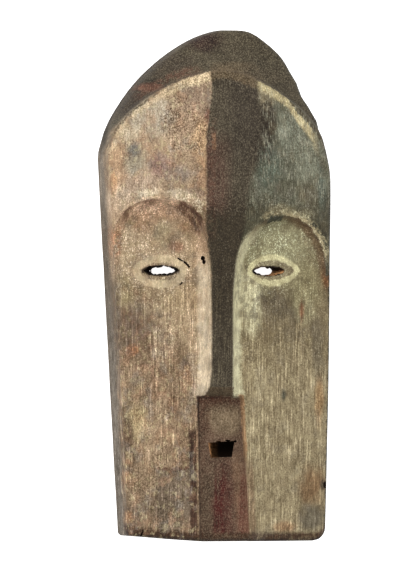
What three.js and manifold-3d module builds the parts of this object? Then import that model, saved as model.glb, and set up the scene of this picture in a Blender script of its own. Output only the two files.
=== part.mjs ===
// A miniature face mask, carved from one block of wood, lying on its back with its face up.
// Millimetres. +X is the viewer's right, +Y the top of the head, +Z the way the face looks.
// The origin is under the middle of the mask, on the surface that it lies on.
import * as THREE from "three";
import { mergeVertices } from "three/addons/utils/BufferGeometryUtils.js";
import Module from "manifold-3d";

const { clamp, lerp, smoothstep } = THREE.MathUtils;

// Outline of the front, with the walls flaring a little towards the back
const HALF_LENGTH = 89.5;
const HALF_WIDTH = 39.6;
const FLARE = { x: 0.8, y: 0.5 };
const SHOULDERS = { left: { x: 3.8, y: 44.4, power: 1.59 }, right: { x: 10.1, y: 37.9, power: 1.55 } };
const JAW = { left: -32.4, right: 37.85 };
const CHIN = { rise: 2.2, riseFrom: -5.9, cornerLeft: 1, cornerRight: 4.5 };
const ARRIS_RADIUS = 2.2;

// Places where the right shoulder was cut in or left full
const HEWN = [
  { y: 80.5, inward: -0.7, half: 6 },
  { y: 66.8, inward: 1, half: 4.5 },
  { y: 57.5, inward: -0.6, half: 4 },
];
const HEWN_REACH = 6;

// Heights above the back plane, as [y, height] stations from the chin to the crown
const MIDDLE_X = -1.2;
const RIDGE = [[-38.6, 23.2], [-34.7, 29.8], [-5, 30.4], [15, 31.2], [40, 32.2], [57, 30.4], [75, 25.4], [90, 17]];
const CHEEK = [[-90, 20.4], [-60, 22.2], [-30, 23.4], [0, 23], [30, 22]];
const CHEEK_FALL = 2.4;
const [FOREHEAD_ROUND, CHEEK_ROUND] = [1.8, 2.4];
const FOREHEAD_SIDE = [[10, 20.6], [34, 20.4], [49, 17.6], [75, 13], [90, 10]];
const CROWN_RIM = [[49, 15], [70, 12.6], [90, 11.6]];

// Forehead edge, an arch over the brow with the cap of hair stepping back behind it
const ARCH = { x: 0.6, y: 49, top: 74.6, powerLeft: 1.62, powerRight: 1.45 };
const ARCH_STEP = { side: 3.2, middle: 1.3, width: 1.2 };
const CAP_BEND = 1.5;

// Brow arches and the sockets below them, with crests that are rubbed round
const BROWS = [
  { side: -1, x: -22.4, outer: 17.2, inner: 16.9, y: 12, rise: 18.5, power: 2.3 },
  { side: 1, x: 21.5, outer: 16, inner: 18.2, y: 3.8, rise: 20.7, power: 2.05 },
];
const LEDGE_RUN = { brow: 4, tip: 2.6, narrowsFrom: -30 };
const RUBBED_CREST = 0.3;

// Nose, a long flat bar whose sides are the brows' inner ends
const NOSE = { left: -4.9, right: 2.4, tipY: -34.7, baseY: -38.2, straightBelow: -2, tipFlare: 1.2 };

// Sunk panel from under the nose to the chin
const PANEL = { top: -38.6, topLeft: -8.7, topRight: 7.2, chinLeft: -7.4, chinRight: 10.4, depth: 1.5, slope: 0.6 };

// Mouth, a blind hole that is wider above than below, with its top edge on a slant, cut inwards to the right
const MOUTH = { top: -54.2, bottom: -60.1, left: -4.5, right: 4.8, draw: 0.9, slant: 0.6, lipZ: 20.5, floorZ: 10 };
const MOUTH_LEAN = { left: 3.2, right: 1.7 };

// Eyes, pierced slits: front is at the face, back at the inside of the hollow
const EYES = [
  { x: -21.5, y: 5.2, half: 6.4, high: 3.5, backX: -19.5, backHalf: 4.2, backHigh: 3.1 },
  { x: 16.5, y: 5.1, half: 5.7, high: 3.3, backX: 16.3, backHalf: 2.6, backHigh: 2.8 },
];
const EYE_CUT = { from: 11.5, front: 22.4, to: 32 };

// Hollow of the back
const HOLLOW = { x: 0, y: 24, halfWidth: 29.5, up: 53, down: 75, power: 2.5, bow: 0.34, below: 2, rimFlare: 1.04 };
const HOLLOW_RING_SPREAD = 1.4;
const HOLLOW_DEPTH = [[-51, 4], [-35, 10], [-10, 15], [10, 17], [40, 21.5], [60, 18], [77, 9]];

// Mesh density: cells across, counted from the side to the nose, and along, from the chin to the crown
const CELLS = { cheek: 11, bar: 4, lowerFace: 14, noseBase: 2, nose: 9, eyes: 10, forehead: 15, cap: 6 };
const ARRIS_STEPS = [0, 0.35, 1.1, 2.4];
const LEDGE_STEPS = [0, 0.6, 1.4, 2.55, 4];
const LEDGE_SPREAD = 3;
const LEDGE_SPREAD_FADE = 8;
const PANEL_COLUMN = 1;
const EYES_FROM = -5;
const CORNER_Y = 54;
const CURVE_STEPS = 36;
const CAP_STEP_SHARE = 0.12;
const CAP_ARRIS_SHARE = 0.4;
const WALL_RINGS = [0.35, 0.7, 1];
const HOLLOW_RINGS = 8;
const HOLLOW_SIDES = 40;
const SLIT_STEPS = 8;
const SLIT_POINTED = 0.3;

const WOOD = { color: 0x8c775c, roughness: 0.9, metalness: 0 };

// Height at y on a smooth line through a few stations.
function along(stations, y) {
  const last = stations.length - 1;
  let i = 0;
  while (i < last - 1 && y > stations[i + 1][0]) i++;
  const slopeAt = (k) => {
    const a = stations[Math.max(k - 1, 0)];
    const b = stations[Math.min(k + 1, last)];
    return (b[1] - a[1]) / (b[0] - a[0]);
  };
  const [y0, z0] = stations[i];
  const [y1, z1] = stations[i + 1];
  const run = y1 - y0;
  const t = clamp((y - y0) / run, 0, 1);
  const bend = (z0 - z1 + slopeAt(i) * run) * (1 - t) + (z1 - z0 - slopeAt(i + 1) * run) * t;
  return lerp(z0, z1, t) + t * (1 - t) * bend;
}

// How far a quarter of a superellipse stands out at a share of its height.
function quarter(share, power) {
  return (1 - clamp(Math.abs(share), 0, 1) ** power) ** (1 / power);
}

// Outline: the left and right sides at a height, and the crown and the chin at a place across.
function leftAt(y) {
  const { x: inner, y: start, power } = SHOULDERS.left;
  if (y <= start) return lerp(JAW.left, -HALF_WIDTH, (y + HALF_LENGTH) / (start + HALF_LENGTH));
  return inner - (inner + HALF_WIDTH) * quarter((y - start) / (HALF_LENGTH - start), power);
}

function rightAt(y) {
  const { x: inner, y: start, power } = SHOULDERS.right;
  if (y <= start) return lerp(JAW.right, HALF_WIDTH, (y + HALF_LENGTH) / (start + HALF_LENGTH));
  return inner + (HALF_WIDTH - inner) * quarter((y - start) / (HALF_LENGTH - start), power);
}

function crownAt(x) {
  if (x > SHOULDERS.left.x && x < SHOULDERS.right.x) return HALF_LENGTH;
  const shoulder = x <= SHOULDERS.left.x ? SHOULDERS.left : SHOULDERS.right;
  const share = (x - shoulder.x) / (HALF_WIDTH * Math.sign(x - shoulder.x) - shoulder.x || 1);
  return shoulder.y + (HALF_LENGTH - shoulder.y) * quarter(share, shoulder.power);
}

function chinAt(x) {
  const rise = CHIN.rise * clamp((CHIN.riseFrom - x) / (CHIN.riseFrom - JAW.left), 0, 1);
  const corner = (radius, inset) => radius - Math.sqrt(radius ** 2 - clamp(radius - inset, 0, radius) ** 2);
  const left = corner(CHIN.cornerLeft, x - JAW.left);
  const right = corner(CHIN.cornerRight, JAW.right - x);
  return -HALF_LENGTH + rise + left + right;
}

// Forehead edge and brow arches.
function archAt(x) {
  const left = x < ARCH.x;
  const end = left ? leftAt(ARCH.y) : rightAt(ARCH.y);
  const share = (x - ARCH.x) / (end - ARCH.x);
  return ARCH.y + (ARCH.top - ARCH.y) * quarter(share, left ? ARCH.powerLeft : ARCH.powerRight);
}

function browOutward(brow, x, inset) {
  const outer = (x - brow.x) * brow.side > 0;
  return (x - brow.x) / ((outer ? brow.outer : brow.inner) - inset);
}

function browAt(brow, x, inset = 0) {
  return brow.y + (brow.rise - inset) * quarter(browOutward(brow, x, inset), brow.power);
}

// Side of the nose bar: straight, spreading to the brow above and round the tip below.
function noseSideAt(side, y) {
  const brow = BROWS[side < 0 ? 0 : 1];
  const edge = side < 0 ? NOSE.left : NOSE.right;
  const browEnd = brow.x - side * brow.inner;
  const spread = (browEnd - edge) * clamp((y - NOSE.straightBelow) / (brow.y - NOSE.straightBelow), 0, 1);
  return edge + spread + side * NOSE.tipFlare * clamp((NOSE.tipY - y) / (NOSE.tipY - NOSE.baseY), 0, 1);
}

function ledgeRunAt(y) {
  const { brow, tip, narrowsFrom } = LEDGE_RUN;
  return lerp(brow, tip, clamp((narrowsFrom - y) / (narrowsFrom - NOSE.baseY), 0, 1));
}

function panelSideAt(side, y) {
  const down = (PANEL.top - y) / (PANEL.top + HALF_LENGTH);
  return side < 0 ? lerp(PANEL.topLeft, PANEL.chinLeft, down) : lerp(PANEL.topRight, PANEL.chinRight, down);
}

// A curve as points, and how far a place is from it.
function sample(at, from, to, steps = CURVE_STEPS) {
  return Array.from({ length: steps + 1 }, (_, i) => at(lerp(from, to, (1 - Math.cos((Math.PI * i) / steps)) / 2)));
}

function distanceTo(line, x, y) {
  let best = Infinity;
  for (let i = 1; i < line.length; i++) {
    const [ax, ay] = line[i - 1];
    const [bx, by] = line[i];
    const t = clamp(((x - ax) * (bx - ax) + (y - ay) * (by - ay)) / ((bx - ax) ** 2 + (by - ay) ** 2 || 1), 0, 1);
    best = Math.min(best, Math.hypot(x - lerp(ax, bx, t), y - lerp(ay, by, t)));
  }
  return best;
}

// The hewn places move what is near the right shoulder, and nothing further in.
function hewn([x, y]) {
  const nearness = smoothstep(HEWN_REACH - (rightAt(y) - x), 0, HEWN_REACH);
  const move = (place) => place.inward * Math.max(1 - ((y - place.y) / place.half) ** 2, 0) ** 2;
  return [x - nearness * HEWN.reduce((sum, place) => sum + move(place), 0), y];
}

const across = (at) => (x) => [x, at(x)];
const upright = (at) => (y) => [at(y), y];
const OUTLINE = [
  ...sample(upright(leftAt), chinAt(JAW.left), ARCH.y),
  ...sample(across(crownAt), leftAt(ARCH.y), SHOULDERS.left.x),
  ...sample(across(crownAt), SHOULDERS.right.x, rightAt(ARCH.y)),
  ...sample(upright(rightAt), ARCH.y, chinAt(JAW.right)),
  ...sample(across(chinAt), JAW.right, JAW.left),
].map(hewn);
const ARCH_LINE = [
  ...sample(across(archAt), leftAt(ARCH.y), ARCH.x),
  ...sample(across(archAt), ARCH.x, rightAt(ARCH.y)),
];
const CREST_LINES = BROWS.map((brow) => [
  ...sample(across((x) => browAt(brow, x)), brow.x + brow.side * brow.outer, brow.x - brow.side * brow.inner),
  ...sample(upright((y) => noseSideAt(brow.side, y)), brow.y, NOSE.baseY, 8),
]);

// Surfaces that the front is made of: the forehead with the nose, the cheeks, and the cap.
function foreheadAt(x, y) {
  const ridge = along(RIDGE, y);
  return ridge - (ridge - along(FOREHEAD_SIDE, y)) * (Math.abs(x - MIDDLE_X) / HALF_WIDTH) ** FOREHEAD_ROUND;
}

function cheekAt(x, y) {
  return along(CHEEK, y) - CHEEK_FALL * (Math.abs(x - MIDDLE_X) / HALF_WIDTH) ** CHEEK_ROUND;
}

function capAt(x, y, fromArch, fromOutline) {
  const step = lerp(ARCH_STEP.middle, ARCH_STEP.side, smoothstep(Math.abs(x - ARCH.x), 6, 18));
  const share = fromArch / (fromArch + fromOutline + 1e-6);
  return lerp(foreheadAt(x, y) - step, along(CROWN_RIM, y), share ** CAP_BEND);
}

// From 0 on the forehead and the nose to 1 on the cheek, steep at the edge and hollow at the foot.
function ledgeShare(x, y) {
  const brow = BROWS[x < 0 ? 0 : 1];
  const onCheek = y <= brow.y ? (x - noseSideAt(brow.side, y)) * brow.side > 0 : y < browAt(brow, x);
  if (!onCheek) return 0;
  const out = clamp(distanceTo(CREST_LINES[x < 0 ? 0 : 1], x, y) / ledgeRunAt(y), 0, 1);
  return (1 - (1 - out) ** 2) * smoothstep(out, 0, RUBBED_CREST);
}

function panelCut(x, y) {
  const inset = Math.min(x - panelSideAt(-1, y), panelSideAt(1, y) - x, PANEL.top - y);
  return PANEL.depth * clamp(inset / PANEL.slope, 0, 1);
}

function frontAt(x, y) {
  const fromOutline = distanceTo(OUTLINE, x, y);
  const cheek = cheekAt(x, y);
  const raised = y < PANEL.top ? cheek : foreheadAt(x, y);
  let z = lerp(raised, cheek, ledgeShare(x, y)) - panelCut(x, y);
  if (y > archAt(x)) {
    const fromArch = distanceTo(ARCH_LINE, x, y);
    z = lerp(z, capAt(x, y, fromArch, fromOutline), clamp(fromArch / ARCH_STEP.width, 0, 1));
  }
  const inset = clamp(1 - fromOutline / ARRIS_RADIUS, 0, 1);
  return z - ARRIS_RADIUS * (1 - Math.sqrt(1 - inset ** 2));
}

// Rows of the front, from the chin to the forehead edge: each is a line across the face.
function browRow(x, inset) {
  const spread = (LEDGE_SPREAD * inset) / LEDGE_RUN.brow;
  const ends = BROWS.map((brow) => brow.x - brow.side * brow.inner);
  const height = (brow, at) => {
    const fromNose = brow.inner + (at - brow.x) * brow.side;
    return browAt(brow, at, inset) - spread * (1 - smoothstep(fromNose, 0, LEDGE_SPREAD_FADE));
  };
  if (x < ends[0]) return height(BROWS[0], x);
  if (x > ends[1]) return height(BROWS[1], x);
  return lerp(height(BROWS[0], ends[0]), height(BROWS[1], ends[1]), (x - ends[0]) / (ends[1] - ends[0]));
}

function between(lower, upper, cells) {
  return Array.from({ length: cells }, (_, i) => (x) => lerp(lower(x), upper(x), (i + 1) / cells));
}

function faceRows() {
  const level = (y) => () => y;
  const arris = ARRIS_STEPS.map((step) => (x) => chinAt(x) + step);
  const ledge = [...LEDGE_STEPS].reverse().map((step) => (x) => browRow(x, step));
  return [
    ...arris,
    ...between(arris.at(-1), level(PANEL.top - PANEL.slope), CELLS.lowerFace),
    level(PANEL.top),
    level(NOSE.baseY),
    ...between(level(NOSE.baseY), level(NOSE.tipY), CELLS.noseBase),
    ...between(level(NOSE.tipY), level(EYES_FROM), CELLS.nose),
    ...between(level(EYES_FROM), ledge[0], CELLS.eyes),
    ...ledge.slice(1),
    ...between(ledge.at(-1), archAt, CELLS.forehead),
  ];
}

// Places across a row, from the left side to the right, gathered at the arrises and the nose's flanks.
function columns(left, right, row) {
  const flank = (side) => {
    const y = row(side < 0 ? NOSE.left : NOSE.right);
    const last = LEDGE_STEPS.length - 1;
    const wall = panelSideAt(side, y);
    return LEDGE_STEPS.map((step, i) => {
      if (y >= NOSE.baseY) return noseSideAt(side, y) + (side * step * ledgeRunAt(y)) / LEDGE_RUN.brow;
      return i === last ? wall : wall - side * (PANEL.slope + (last - 1 - i) * PANEL_COLUMN);
    });
  };
  const run = (edge, side, foot) => {
    const start = edge - side * ARRIS_STEPS.at(-1);
    const even = Array.from({ length: CELLS.cheek - 1 }, (_, i) => lerp(start, foot, (i + 1) / CELLS.cheek));
    return [...ARRIS_STEPS.map((step) => edge - side * step), ...even];
  };
  const [leftFlank, rightFlank] = [flank(-1), flank(1)];
  const bar = Array.from({ length: CELLS.bar - 1 }, (_, i) =>
    lerp(leftFlank[0], rightFlank[0], (i + 1) / CELLS.bar),
  );
  return [
    ...run(left, -1, leftFlank.at(-1)),
    ...leftFlank.reverse(),
    ...bar,
    ...rightFlank,
    ...run(right, 1, rightFlank.at(-1)).reverse(),
  ];
}

function endOf(row, sideAt) {
  let y = row(0);
  for (let i = 0; i < 30; i++) y = lerp(y, row(sideAt(y)), 0.7);
  return y;
}

function rowPoints(row) {
  const [leftY, rightY] = [endOf(row, leftAt), endOf(row, rightAt)];
  return columns(leftAt(leftY), rightAt(rightY), row).map((x) => [x, row(x)]);
}

// Rows of the cap, from the forehead edge to the crown.
function capRows(archRow) {
  const crownPoint = ([x]) => {
    const sideAt = x < ARCH.x ? leftAt : rightAt;
    const moved = lerp(ARCH.x, sideAt(CORNER_Y), (x - ARCH.x) / (sideAt(ARCH.y) - ARCH.x));
    return [moved, crownAt(moved)];
  };
  const columnsUp = archRow.map((point, i) => {
    const end = crownPoint(point);
    const length = Math.hypot(end[0] - point[0], end[1] - point[1]);
    const step = Math.min(ARCH_STEP.width, length * CAP_STEP_SHARE);
    const arris = Math.min(ARRIS_STEPS.at(-1), length * CAP_ARRIS_SHARE) / ARRIS_STEPS.at(-1);
    const stops = [step];
    const roundFrom = length - arris * ARRIS_STEPS.at(-1);
    for (let k = 1; k < CELLS.cap; k++) stops.push(lerp(step, roundFrom, k / CELLS.cap));
    for (const inset of [...ARRIS_STEPS].reverse()) stops.push(length - arris * inset);
    return stops.map((stop) => {
      const [x, y] = [lerp(point[0], end[0], stop / length), lerp(point[1], end[1], stop / length)];
      if (i === 0) return [leftAt(y), y];
      if (i === archRow.length - 1) return [rightAt(y), y];
      return [x, y];
    });
  });
  return columnsUp[0].map((_, k) => columnsUp.map((column) => column[k]));
}

// A closed solid from a grid of rows: front on top, walls round it, and a flat back.
function carvedBlock() {
  const rows = faceRows().map(rowPoints);
  rows.push(...capRows(rows.at(-1)));
  const wide = rows[0].length;
  const high = rows.length;
  const positions = [];
  const triangles = [];
  for (const [x, y] of rows.flat().map(hewn)) positions.push(x, y, frontAt(x, y));
  for (let j = 0; j + 1 < high; j++)
    for (let i = 0; i + 1 < wide; i++) {
      const a = j * wide + i;
      const [b, c, d] = [a + 1, a + wide + 1, a + wide];
      const fall = (k, l) => Math.abs(positions[k * 3 + 2] - positions[l * 3 + 2]);
      triangles.push(...(fall(a, c) <= fall(b, d) ? [a, b, c, a, c, d] : [a, b, d, b, c, d]));
    }

  const rim = [];
  for (let i = 0; i < wide - 1; i++) rim.push(i);
  for (let j = 0; j < high - 1; j++) rim.push(j * wide + wide - 1);
  for (let i = wide - 1; i > 0; i--) rim.push((high - 1) * wide + i);
  for (let j = high - 1; j > 0; j--) rim.push(j * wide);
  let upper = rim;
  for (const down of WALL_RINGS) {
    const lower = rim.map((index) => {
      const [x, y, z] = positions.slice(index * 3, index * 3 + 3);
      const flare = [1 + (down * FLARE.x) / HALF_WIDTH, 1 + (down * FLARE.y) / HALF_LENGTH];
      positions.push(x * flare[0], y * flare[1], z * (1 - down));
      return positions.length / 3 - 1;
    });
    upper.forEach((top, i) => {
      const next = (i + 1) % rim.length;
      triangles.push(lower[i], lower[next], upper[next], lower[i], upper[next], top);
    });
    upper = lower;
  }
  const contour = upper.map((index) => new THREE.Vector2(positions[index * 3], positions[index * 3 + 1]));
  for (const [a, b, c] of THREE.ShapeUtils.triangulateShape(contour, []))
    triangles.push(upper[a], upper[c], upper[b]);
  return indexed(positions, triangles);
}

// A closed solid from rings of equal length, each a step further from a flat end towards a last point or ring.
function loft(rings) {
  const positions = rings.flat(2);
  const sides = rings[0].length;
  const triangles = [];
  for (let k = 0; k + 1 < rings.length; k++)
    for (let i = 0; i < sides; i++) {
      const [a, b] = [k * sides + i, k * sides + ((i + 1) % sides)];
      triangles.push(a, b, b + sides, a, b + sides, a + sides);
    }
  const last = (rings.length - 1) * sides;
  for (let i = 1; i + 1 < sides; i++) triangles.push(0, i + 1, i, last, last + i, last + i + 1);
  return indexed(positions, triangles);
}

// The scoop of the back: a bowl whose floor follows the face at a wall's distance.
function scoop() {
  const ring = (share, zAt) =>
    Array.from({ length: HOLLOW_SIDES }, (_, i) => {
      const angle = (2 * Math.PI * i) / HOLLOW_SIDES;
      const [c, s] = [Math.cos(angle), Math.sin(angle)];
      const round = (v) => Math.sign(v) * Math.abs(v) ** (2 / HOLLOW.power);
      const x = HOLLOW.x + HOLLOW.halfWidth * share * round(c);
      const y = HOLLOW.y + (s > 0 ? HOLLOW.up : HOLLOW.down) * share * round(s);
      return [x, y, zAt(y)];
    });
  const rings = [ring(HOLLOW.rimFlare, () => -HOLLOW.below), ring(1, () => 0)];
  for (let k = 1; k < HOLLOW_RINGS; k++) {
    const share = 1 - (k / HOLLOW_RINGS) ** HOLLOW_RING_SPREAD;
    rings.push(ring(share, (y) => along(HOLLOW_DEPTH, y) * (1 - share ** 2) ** HOLLOW.bow));
  }
  return loft(rings);
}

// An eye: a slit of two arcs, narrowing from the face to the hollow.
function eyeSlit(eye) {
  const lens = (x, half, high, z) =>
    Array.from({ length: 2 * SLIT_STEPS }, (_, i) => {
      const angle = (Math.PI * i) / SLIT_STEPS;
      const rise = Math.sin(angle) * Math.abs(Math.sin(angle)) ** SLIT_POINTED;
      return [x + half * Math.cos(angle), eye.y + (high / 2) * rise, z];
    });
  const deep = (EYE_CUT.to - EYE_CUT.front) / (EYE_CUT.front - EYE_CUT.from);
  return loft([
    lens(eye.backX, eye.backHalf, eye.backHigh, EYE_CUT.from),
    lens(eye.x, eye.half, eye.high, EYE_CUT.front),
    lens(lerp(eye.x, eye.backX, -deep), eye.half, eye.high, EYE_CUT.to),
  ]);
}

function mouthHole() {
  const { top, bottom, left, right, draw, slant, lipZ, floorZ } = MOUTH;
  const at = (z) => {
    const depth = (lipZ - z) / (lipZ - floorZ);
    const [west, east] = [left + depth * MOUTH_LEAN.left, right + depth * MOUTH_LEAN.right];
    return [
      [west + draw, bottom, z],
      [east - draw, bottom + slant / 2, z],
      [east, top, z],
      [west, top - slant, z],
    ];
  };
  return loft([at(floorZ), at(lipZ), at(lipZ + PANEL.depth)]);
}

function indexed(positions, triangles) {
  const geometry = new THREE.BufferGeometry();
  geometry.setAttribute("position", new THREE.Float32BufferAttribute(positions, 3));
  geometry.setIndex(triangles);
  return mergeVertices(geometry, 1e-4);
}

const wasm = await Module();
wasm.setup();

function solid(geometry) {
  const vertProperties = new Float32Array(geometry.attributes.position.array);
  const triVerts = new Uint32Array(geometry.index.array);
  return new wasm.Manifold(new wasm.Mesh({ numProp: 3, vertProperties, triVerts }));
}

function geometryOf(body) {
  const { vertProperties, triVerts } = body.getMesh();
  const geometry = indexed(Array.from(vertProperties), Array.from(triVerts));
  geometry.computeVertexNormals();
  return geometry;
}

let body = solid(carvedBlock());
for (const cut of [scoop(), ...EYES.map(eyeSlit), mouthHole()]) body = body.subtract(solid(cut));

const mask = new THREE.Mesh(geometryOf(body), new THREE.MeshStandardMaterial(WOOD));
mask.name = "mask";

const object = new THREE.Group();
object.add(mask);
export default object;
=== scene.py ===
# %% [markdown]
# # A small carved mask, painted and worn
#
# The mask is one block of wood: a long face with arched brows, a flat bar of a nose, slit eyes and a
# sunk panel with the mouth. It lies on its back. The frame holds its true form and size, and this
# script gives it the skin of the real thing: knife work, grain, worn earth paint and insect holes.

# %% Load the frame
import math

import bpy
import numpy as np
from mathutils import Matrix, Vector


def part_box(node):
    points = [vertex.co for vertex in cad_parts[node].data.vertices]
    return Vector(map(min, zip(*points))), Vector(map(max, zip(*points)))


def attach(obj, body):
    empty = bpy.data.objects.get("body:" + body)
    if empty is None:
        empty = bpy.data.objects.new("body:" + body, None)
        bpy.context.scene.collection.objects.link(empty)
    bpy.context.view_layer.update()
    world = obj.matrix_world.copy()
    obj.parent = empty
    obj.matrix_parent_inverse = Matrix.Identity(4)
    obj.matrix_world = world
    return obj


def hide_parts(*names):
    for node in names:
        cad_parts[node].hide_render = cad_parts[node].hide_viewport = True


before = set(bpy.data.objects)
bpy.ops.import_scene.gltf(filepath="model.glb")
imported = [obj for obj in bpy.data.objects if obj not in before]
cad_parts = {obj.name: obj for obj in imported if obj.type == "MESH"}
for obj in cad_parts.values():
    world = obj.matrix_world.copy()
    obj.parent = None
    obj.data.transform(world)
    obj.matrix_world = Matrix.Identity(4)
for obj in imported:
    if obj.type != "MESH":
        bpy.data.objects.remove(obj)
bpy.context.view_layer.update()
bpy.ops.object.select_all(action="DESELECT")

MM = 0.001
mask_low, mask_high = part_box("mask")
print("mask box in mm:", [round(v / MM, 1) for v in (*mask_low, *mask_high)])


# %% [markdown]
# ## The camera
#
# A mask that lies on a table is looked at from above. The camera stands off to the viewer's left, so
# the left wall shows as a thin strip, and the picture's top is the top of the head. A long lens from
# far off keeps the walls from spreading, as in a catalogue picture.

# %% Camera above the face, a little to the left
FRAME_PX = (416, 565)
MM_PER_PX = 0.3503
YAW = math.radians(10)
DISTANCE = 2.0
SENSOR = 0.036
LOOK_AT_HEIGHT = 0.012
MIDDLE_PX = (210.7, 285.5)

to_camera = Vector((-math.sin(YAW), 0, math.cos(YAW)))
picture_right = Vector((math.cos(YAW), 0, math.sin(YAW)))
picture_up = Vector((0, 1, 0))
off_right = (FRAME_PX[0] / 2 - MIDDLE_PX[0]) * MM_PER_PX * MM
off_up = (MIDDLE_PX[1] - FRAME_PX[1] / 2) * MM_PER_PX * MM
look_at = picture_right * off_right + picture_up * off_up + to_camera * LOOK_AT_HEIGHT

camera_data = bpy.data.cameras.new("camera")
camera_data.sensor_fit = "VERTICAL"
camera_data.sensor_height = SENSOR * 1000
camera_data.lens = SENSOR * 1000 * DISTANCE / (FRAME_PX[1] * MM_PER_PX * MM)
camera_data.clip_end = 20
camera = bpy.data.objects.new("camera", camera_data)
bpy.context.collection.objects.link(camera)
turn = Matrix((picture_right, picture_up, to_camera)).transposed().to_4x4()
camera.matrix_world = Matrix.Translation(look_at + to_camera * DISTANCE) @ turn
bpy.context.scene.camera = camera
print("lens in mm:", round(camera_data.lens))


# %% [markdown]
# ## The drawing of the carving
#
# A carver draws lines on the block before cutting: the outline, the edge of the forehead, the two
# brows that run down into the nose, and the mouth panel. The same lines are needed here twice. They
# say how high the surface stands, so that a finer mesh follows the true form, and they say where
# each paint begins. All of them are in millimetres.

# %% Lines of the outline
HALF_LENGTH = 89.5
HALF_WIDTH = 39.6
SHOULDERS = {"left": (3.8, 44.4, 1.59), "right": (10.1, 37.9, 1.55)}
JAW = {"left": -32.4, "right": 37.85}
CHIN_RISE, CHIN_RISE_FROM, CHIN_CORNERS = 2.2, -5.9, (1.0, 4.5)
HEWN = ((80.5, -0.7, 6), (66.8, 1.0, 4.5), (57.5, -0.6, 4))
HEWN_REACH = 6


def mix(a, b, share):
    return a + (b - a) * share


def ramp(value, low, high):
    """0 below low, 1 above high, and smooth between."""
    t = np.clip((value - low) / (high - low), 0, 1)
    return t * t * (3 - 2 * t)


def quarter(share, power):
    """How far a quarter of a superellipse stands out at a share of its height."""
    return (1 - np.clip(np.abs(share), 0, 1) ** power) ** (1 / power)


def side_at(side, y):
    inner, start, power = SHOULDERS[side]
    edge = HALF_WIDTH if side == "right" else -HALF_WIDTH
    straight = mix(JAW[side], edge, (y + HALF_LENGTH) / (start + HALF_LENGTH))
    bent = inner + (edge - inner) * quarter((y - start) / (HALF_LENGTH - start), power)
    return np.where(y <= start, straight, bent)


def crown_side(side, edge, x):
    inner, start, power = SHOULDERS[side]
    return start + (HALF_LENGTH - start) * quarter((x - inner) / (edge - inner), power)


def crown_at(x):
    left, right = crown_side("left", -HALF_WIDTH, x), crown_side("right", HALF_WIDTH, x)
    not_left = np.where(x > SHOULDERS["right"][0], right, HALF_LENGTH)
    return np.where(x < SHOULDERS["left"][0], left, not_left)


def chin_at(x):
    def corner(radius, inset):
        return radius - np.sqrt(radius**2 - np.clip(radius - inset, 0, radius) ** 2)

    rise = CHIN_RISE * np.clip((CHIN_RISE_FROM - x) / (CHIN_RISE_FROM - JAW["left"]), 0, 1)
    corners = corner(CHIN_CORNERS[0], x - JAW["left"]) + corner(CHIN_CORNERS[1], JAW["right"] - x)
    return rise + corners - HALF_LENGTH


def hewn(x, y):
    """The right shoulder was cut in at some places and left full at others."""
    near = ramp(HEWN_REACH - (side_at("right", y) - x), 0, HEWN_REACH)
    move = sum(inward * np.clip(1 - ((y - at) / half) ** 2, 0, None) ** 2 for at, inward, half in HEWN)
    return x - near * move, y


def gathered(start, stop, steps=36):
    """Numbers from start to stop, closer together at both ends."""
    return mix(start, stop, (1 - np.cos(np.linspace(0, math.pi, steps + 1))) / 2)


print("sides at mid length in mm:", [round(float(side_at(side, 0)), 1) for side in SHOULDERS])


# %% Lines of the forehead, the brows, the nose and the mouth panel
ARCH_X, ARCH_Y, ARCH_TOP, ARCH_POWERS = 0.6, 49, 74.6, (1.62, 1.45)
BROWS = {
    "left": {"side": -1, "x": -22.4, "outer": 17.2, "inner": 16.9, "y": 12, "rise": 18.5, "power": 2.3},
    "right": {"side": 1, "x": 21.5, "outer": 16, "inner": 18.2, "y": 3.8, "rise": 20.7, "power": 2.05},
}
LEDGE_RUN, LEDGE_RUN_TIP, LEDGE_NARROWS_FROM = 4, 2.6, -30
NOSE = {"left": -4.9, "right": 2.4, "tip": -34.7, "base": -38.2, "straight": -2, "flare": 1.2}
PANEL = {"top": -38.6, "left": (-8.7, -7.4), "right": (7.2, 10.4), "depth": 1.5, "slope": 0.6}


def arch_at(x):
    ends = [side_at(side, np.float64(ARCH_Y)) for side in ("left", "right")]
    left = quarter((x - ARCH_X) / (ends[0] - ARCH_X), ARCH_POWERS[0])
    right = quarter((x - ARCH_X) / (ends[1] - ARCH_X), ARCH_POWERS[1])
    return ARCH_Y + (ARCH_TOP - ARCH_Y) * np.where(x < ARCH_X, left, right)


def brow_at(brow, x):
    reach = np.where((x - brow["x"]) * brow["side"] > 0, brow["outer"], brow["inner"])
    return brow["y"] + brow["rise"] * quarter((x - brow["x"]) / reach, brow["power"])


def nose_side_at(side, y):
    brow, edge = BROWS[side], NOSE[side]
    end = brow["x"] - brow["side"] * brow["inner"]
    spread = (end - edge) * np.clip((y - NOSE["straight"]) / (brow["y"] - NOSE["straight"]), 0, 1)
    flare = NOSE["flare"] * np.clip((NOSE["tip"] - y) / (NOSE["tip"] - NOSE["base"]), 0, 1)
    return edge + spread + brow["side"] * flare


def panel_side_at(side, y):
    return mix(*PANEL[side], (PANEL["top"] - y) / (PANEL["top"] + HALF_LENGTH))


def line(at, start, stop, upright=False, steps=36):
    along = gathered(start, stop, steps)
    return np.column_stack((at(along), along) if upright else (along, at(along)))


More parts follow.
